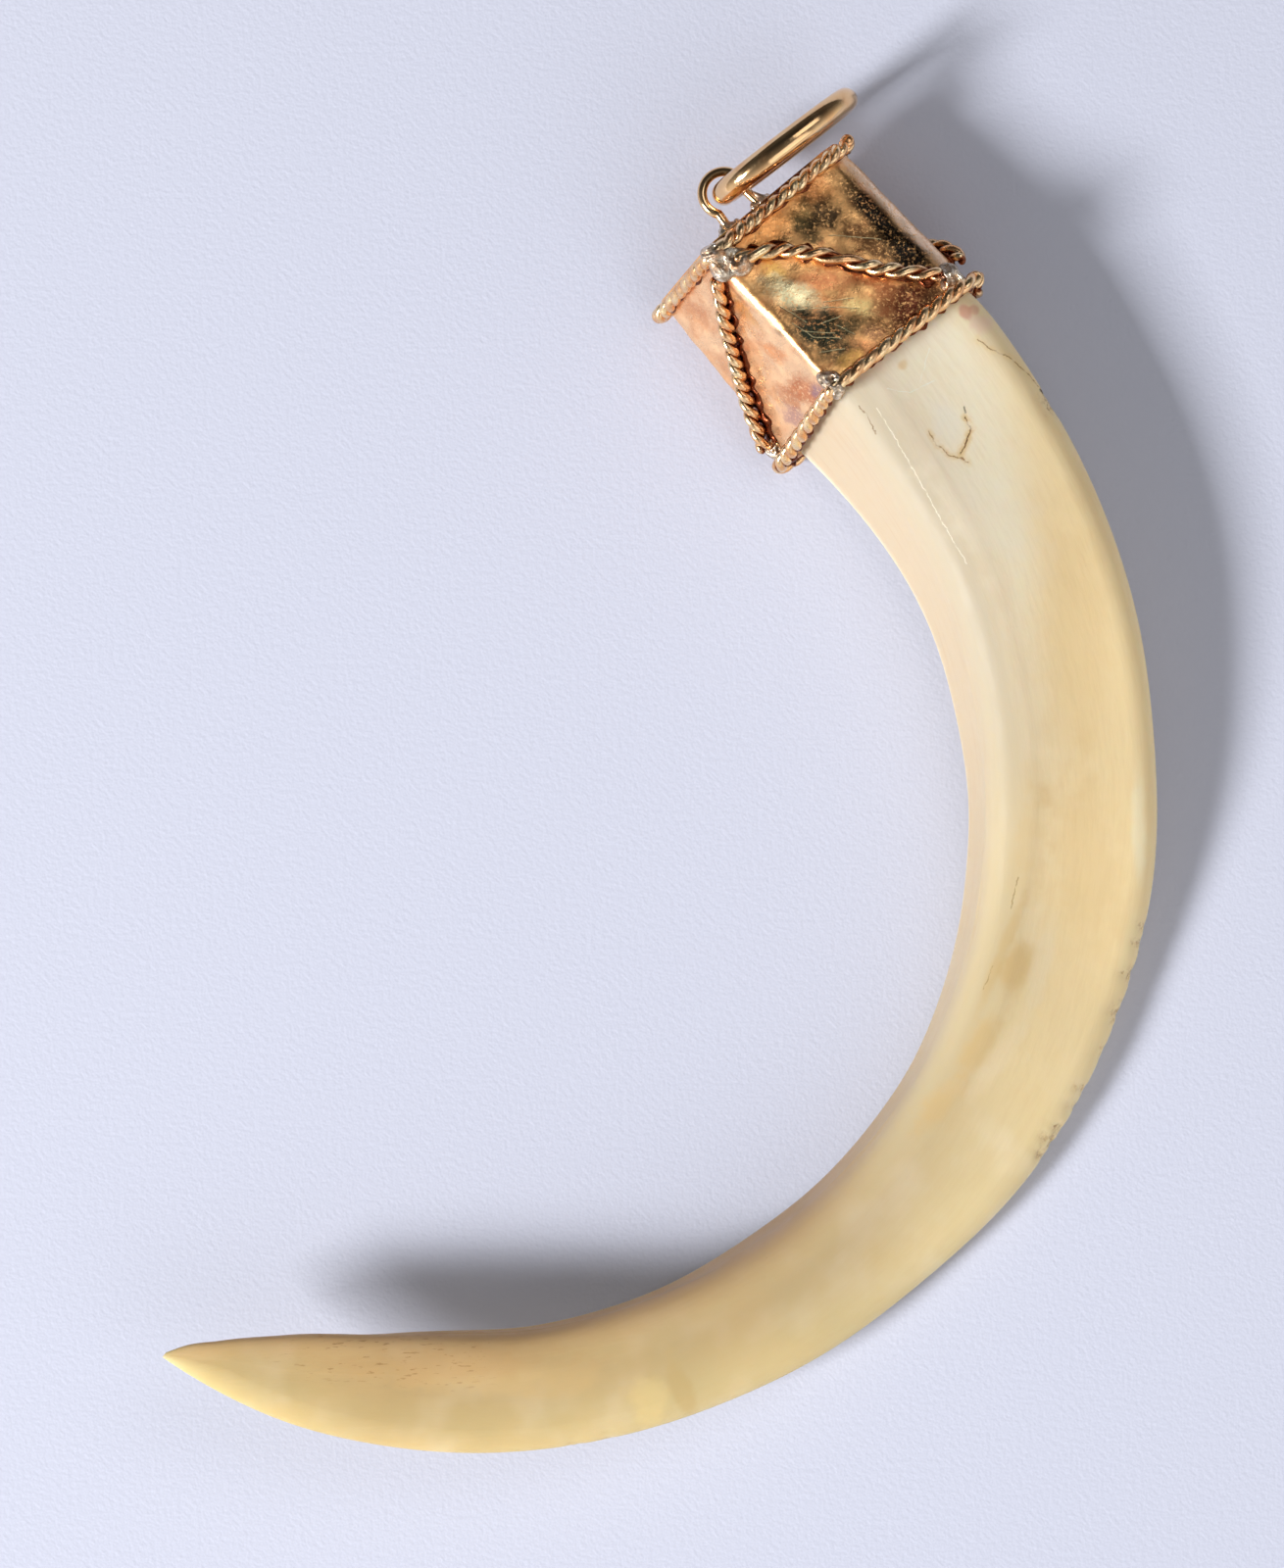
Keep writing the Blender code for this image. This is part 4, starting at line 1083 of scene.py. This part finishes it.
EYELET_CENTRE = (-17.2, 3.6, -4.5)
EYELET_WIRE = 0.75
EYELET_HOLE = 2.6
EYELET_LEG_ANGLE = math.radians(125.0)
EYELET_FOOT_SPREAD = 1.55
RING_LENGTH = 13.6
RING_HEIGHT = 9.6
RING_WIRE = 1.9
RING_HEADING = math.radians(37.5)


def eyelet_mesh():
    """Wire round an open loop, then down two legs to the plate."""
    radius = (EYELET_HOLE + EYELET_WIRE) / 2
    turn = np.linspace(-EYELET_LEG_ANGLE, EYELET_LEG_ANGLE, 61)
    along, across, up = EYELET_CENTRE
    loop = np.column_stack((along - radius * np.cos(turn), across + radius * np.sin(turn), up + 0 * turn))
    foot = PLATE_FACE + 0.1
    feet = np.array([(foot, across + way * EYELET_FOOT_SPREAD, up) for way in (-1, 1)])
    path = evenly(from_cap(np.concatenate((feet[:1], loop, feet[1:]))), 0.12)[0]
    side = np.broadcast_to(np.array(cap_axes()[2]), path.shape)
    return skin("eyelet_wire", tube(path, EYELET_WIRE / 2, side, 20))


def ring_mesh():
    """The wire's circle carried round an upright oval, square to the oval's outline at each point."""
    reach = (RING_LENGTH - RING_WIRE) / 2
    rise = (RING_HEIGHT - RING_WIRE) / 2
    level = np.array((math.cos(RING_HEADING), math.sin(RING_HEADING), 0.0))
    upright = np.array((0.0, 0.0, 1.0))
    turn = np.linspace(0.0, 2 * math.pi, 180, endpoint=False)[:, None, None]
    middle = from_cap(EYELET_CENTRE) + reach * (1 + np.cos(turn)) * level + rise * np.sin(turn) * upright
    out = unit(np.cos(turn) / reach * level + np.sin(turn) / rise * upright)
    around = np.linspace(0.0, 2 * math.pi, 36, endpoint=False)[None, :, None]
    flat = np.cross(level, upright)
    rings = middle + RING_WIRE / 2 * (np.cos(around) * out + np.sin(around) * flat)
    return skin("ring_wire", rings, loop=True)


def polished_finish():
    """Polished gold with a few fine rubbing marks."""
    material, tree, shader, place = finish_named("polished_gold", Metallic=1.0, Roughness=0.14)
    warm = between(tree, cloud(tree, place, 2.0, 3.0, 0.6, 1.0), 0.4, 0.7)
    colour = laid_over(tree, times(tree, warm, 0.5), tone(240, 200, 150), tone(224, 162, 106))
    tree.links.new(colour, shader.inputs["Base Color"])
    rub = between(tree, cloud(tree, place, 0.6, 4.0, 0.7, 2.0), 0.4, 0.75, 0.10, 0.26)
    tree.links.new(rub, shader.inputs["Roughness"])
    raised(tree, shader, cloud(tree, place, 0.8, 2.0, 0.5, 3.0), 0.12, 0.0001)
    return material


POLISHED_GOLD = polished_finish()
add_piece("eyelet_wire", eyelet_mesh(), POLISHED_GOLD, stands_for=("bail_loop",))
add_piece("ring_wire", ring_mesh(), POLISHED_GOLD, body="ring", stands_for=("hanging_ring",))

# The setting
# A sheet of pale paper, a lamp low on the left, a weak wide one and a white card on the right, dim
# surroundings, and the camera overhead.

PAPER_HALF = 0.9
CAMERA_PLACE = (-0.0015, -0.00104, 0.957)
CAMERA_DISTANCE = 0.95
FRAME_HEIGHT = 0.120

floor_mesh = bpy.data.meshes.new("paper")
paper_corners = [(x * PAPER_HALF, y * PAPER_HALF, 0) for x, y in ((-1, -1), (1, -1), (1, 1), (-1, 1))]
floor_mesh.from_pydata(paper_corners, [], [(0, 1, 2, 3)])
floor = bpy.data.objects.new("paper", floor_mesh)
floor.location.z = -0.00002
bpy.context.scene.collection.objects.link(floor)
paper, paper_tree, paper_shader, paper_place = finish_named("pale_paper", Roughness=0.85)
paper_shader.inputs["Base Color"].default_value = (0.63, 0.652, 0.78, 1.0)
fibre = cloud(paper_tree, paper_place, 0.4, 1.0, 0.6)
raised(paper_tree, paper_shader, fibre, 0.35, 0.0001)
floor_mesh.materials.append(paper)

world = bpy.data.worlds.new("dim_room")
bpy.context.scene.world = world
world.use_nodes = True
sky = world.node_tree
look = add_node(sky, "TexCoord").outputs["Generated"]
height = add_node(sky, "SeparateXYZ", {0: look}).outputs[2]
toward_windows = vector(sky, "DOT_PRODUCT", look, (0.30, -0.95, 0.0), "Value")
low_glow = between(sky, height, 0.0, 1.0, 0.65, 0.13)
glow = times(sky, low_glow, between(sky, toward_windows, -0.7, 0.8, 0.12, 1.5))
sky.nodes["Background"].inputs["Color"].default_value = (1.0, 0.99, 0.97, 1.0)
sky.links.new(glow, sky.nodes["Background"].inputs["Strength"])


def soft_lamp(name, toward, distance, size, power):
    """A square lamp at a distance along a direction from the object, facing it."""
    data = bpy.data.lights.new(name, "AREA")
    data.size = size
    data.energy = power
    lamp = bpy.data.objects.new(name, data)
    away = unit(np.array(toward, float))
    lamp.location = away * distance
    lamp.rotation_euler = (math.acos(away[2]), 0.0, math.atan2(away[1], away[0]) + math.pi / 2)
    bpy.context.scene.collection.objects.link(lamp)


soft_lamp("lamp_left", (-0.71, -0.40, 0.57), 1.10, 0.28, 15.0)
soft_lamp("lamp_right", (0.50, -0.50, 0.71), 0.80, 0.55, 0.9)
soft_lamp("white_card", (0.38, 0.33, 0.87), 0.60, 0.31, 0.44)

bpy.context.scene.view_settings.view_transform = "Standard"
camera_data = bpy.data.cameras.new("overhead")
camera_data.lens = camera_data.sensor_width * CAMERA_DISTANCE / FRAME_HEIGHT
camera_data.clip_start = 0.05
camera_data.clip_end = 5.0
camera = bpy.data.objects.new("overhead", camera_data)
camera.location = CAMERA_PLACE
bpy.context.scene.collection.objects.link(camera)
bpy.context.scene.camera = camera
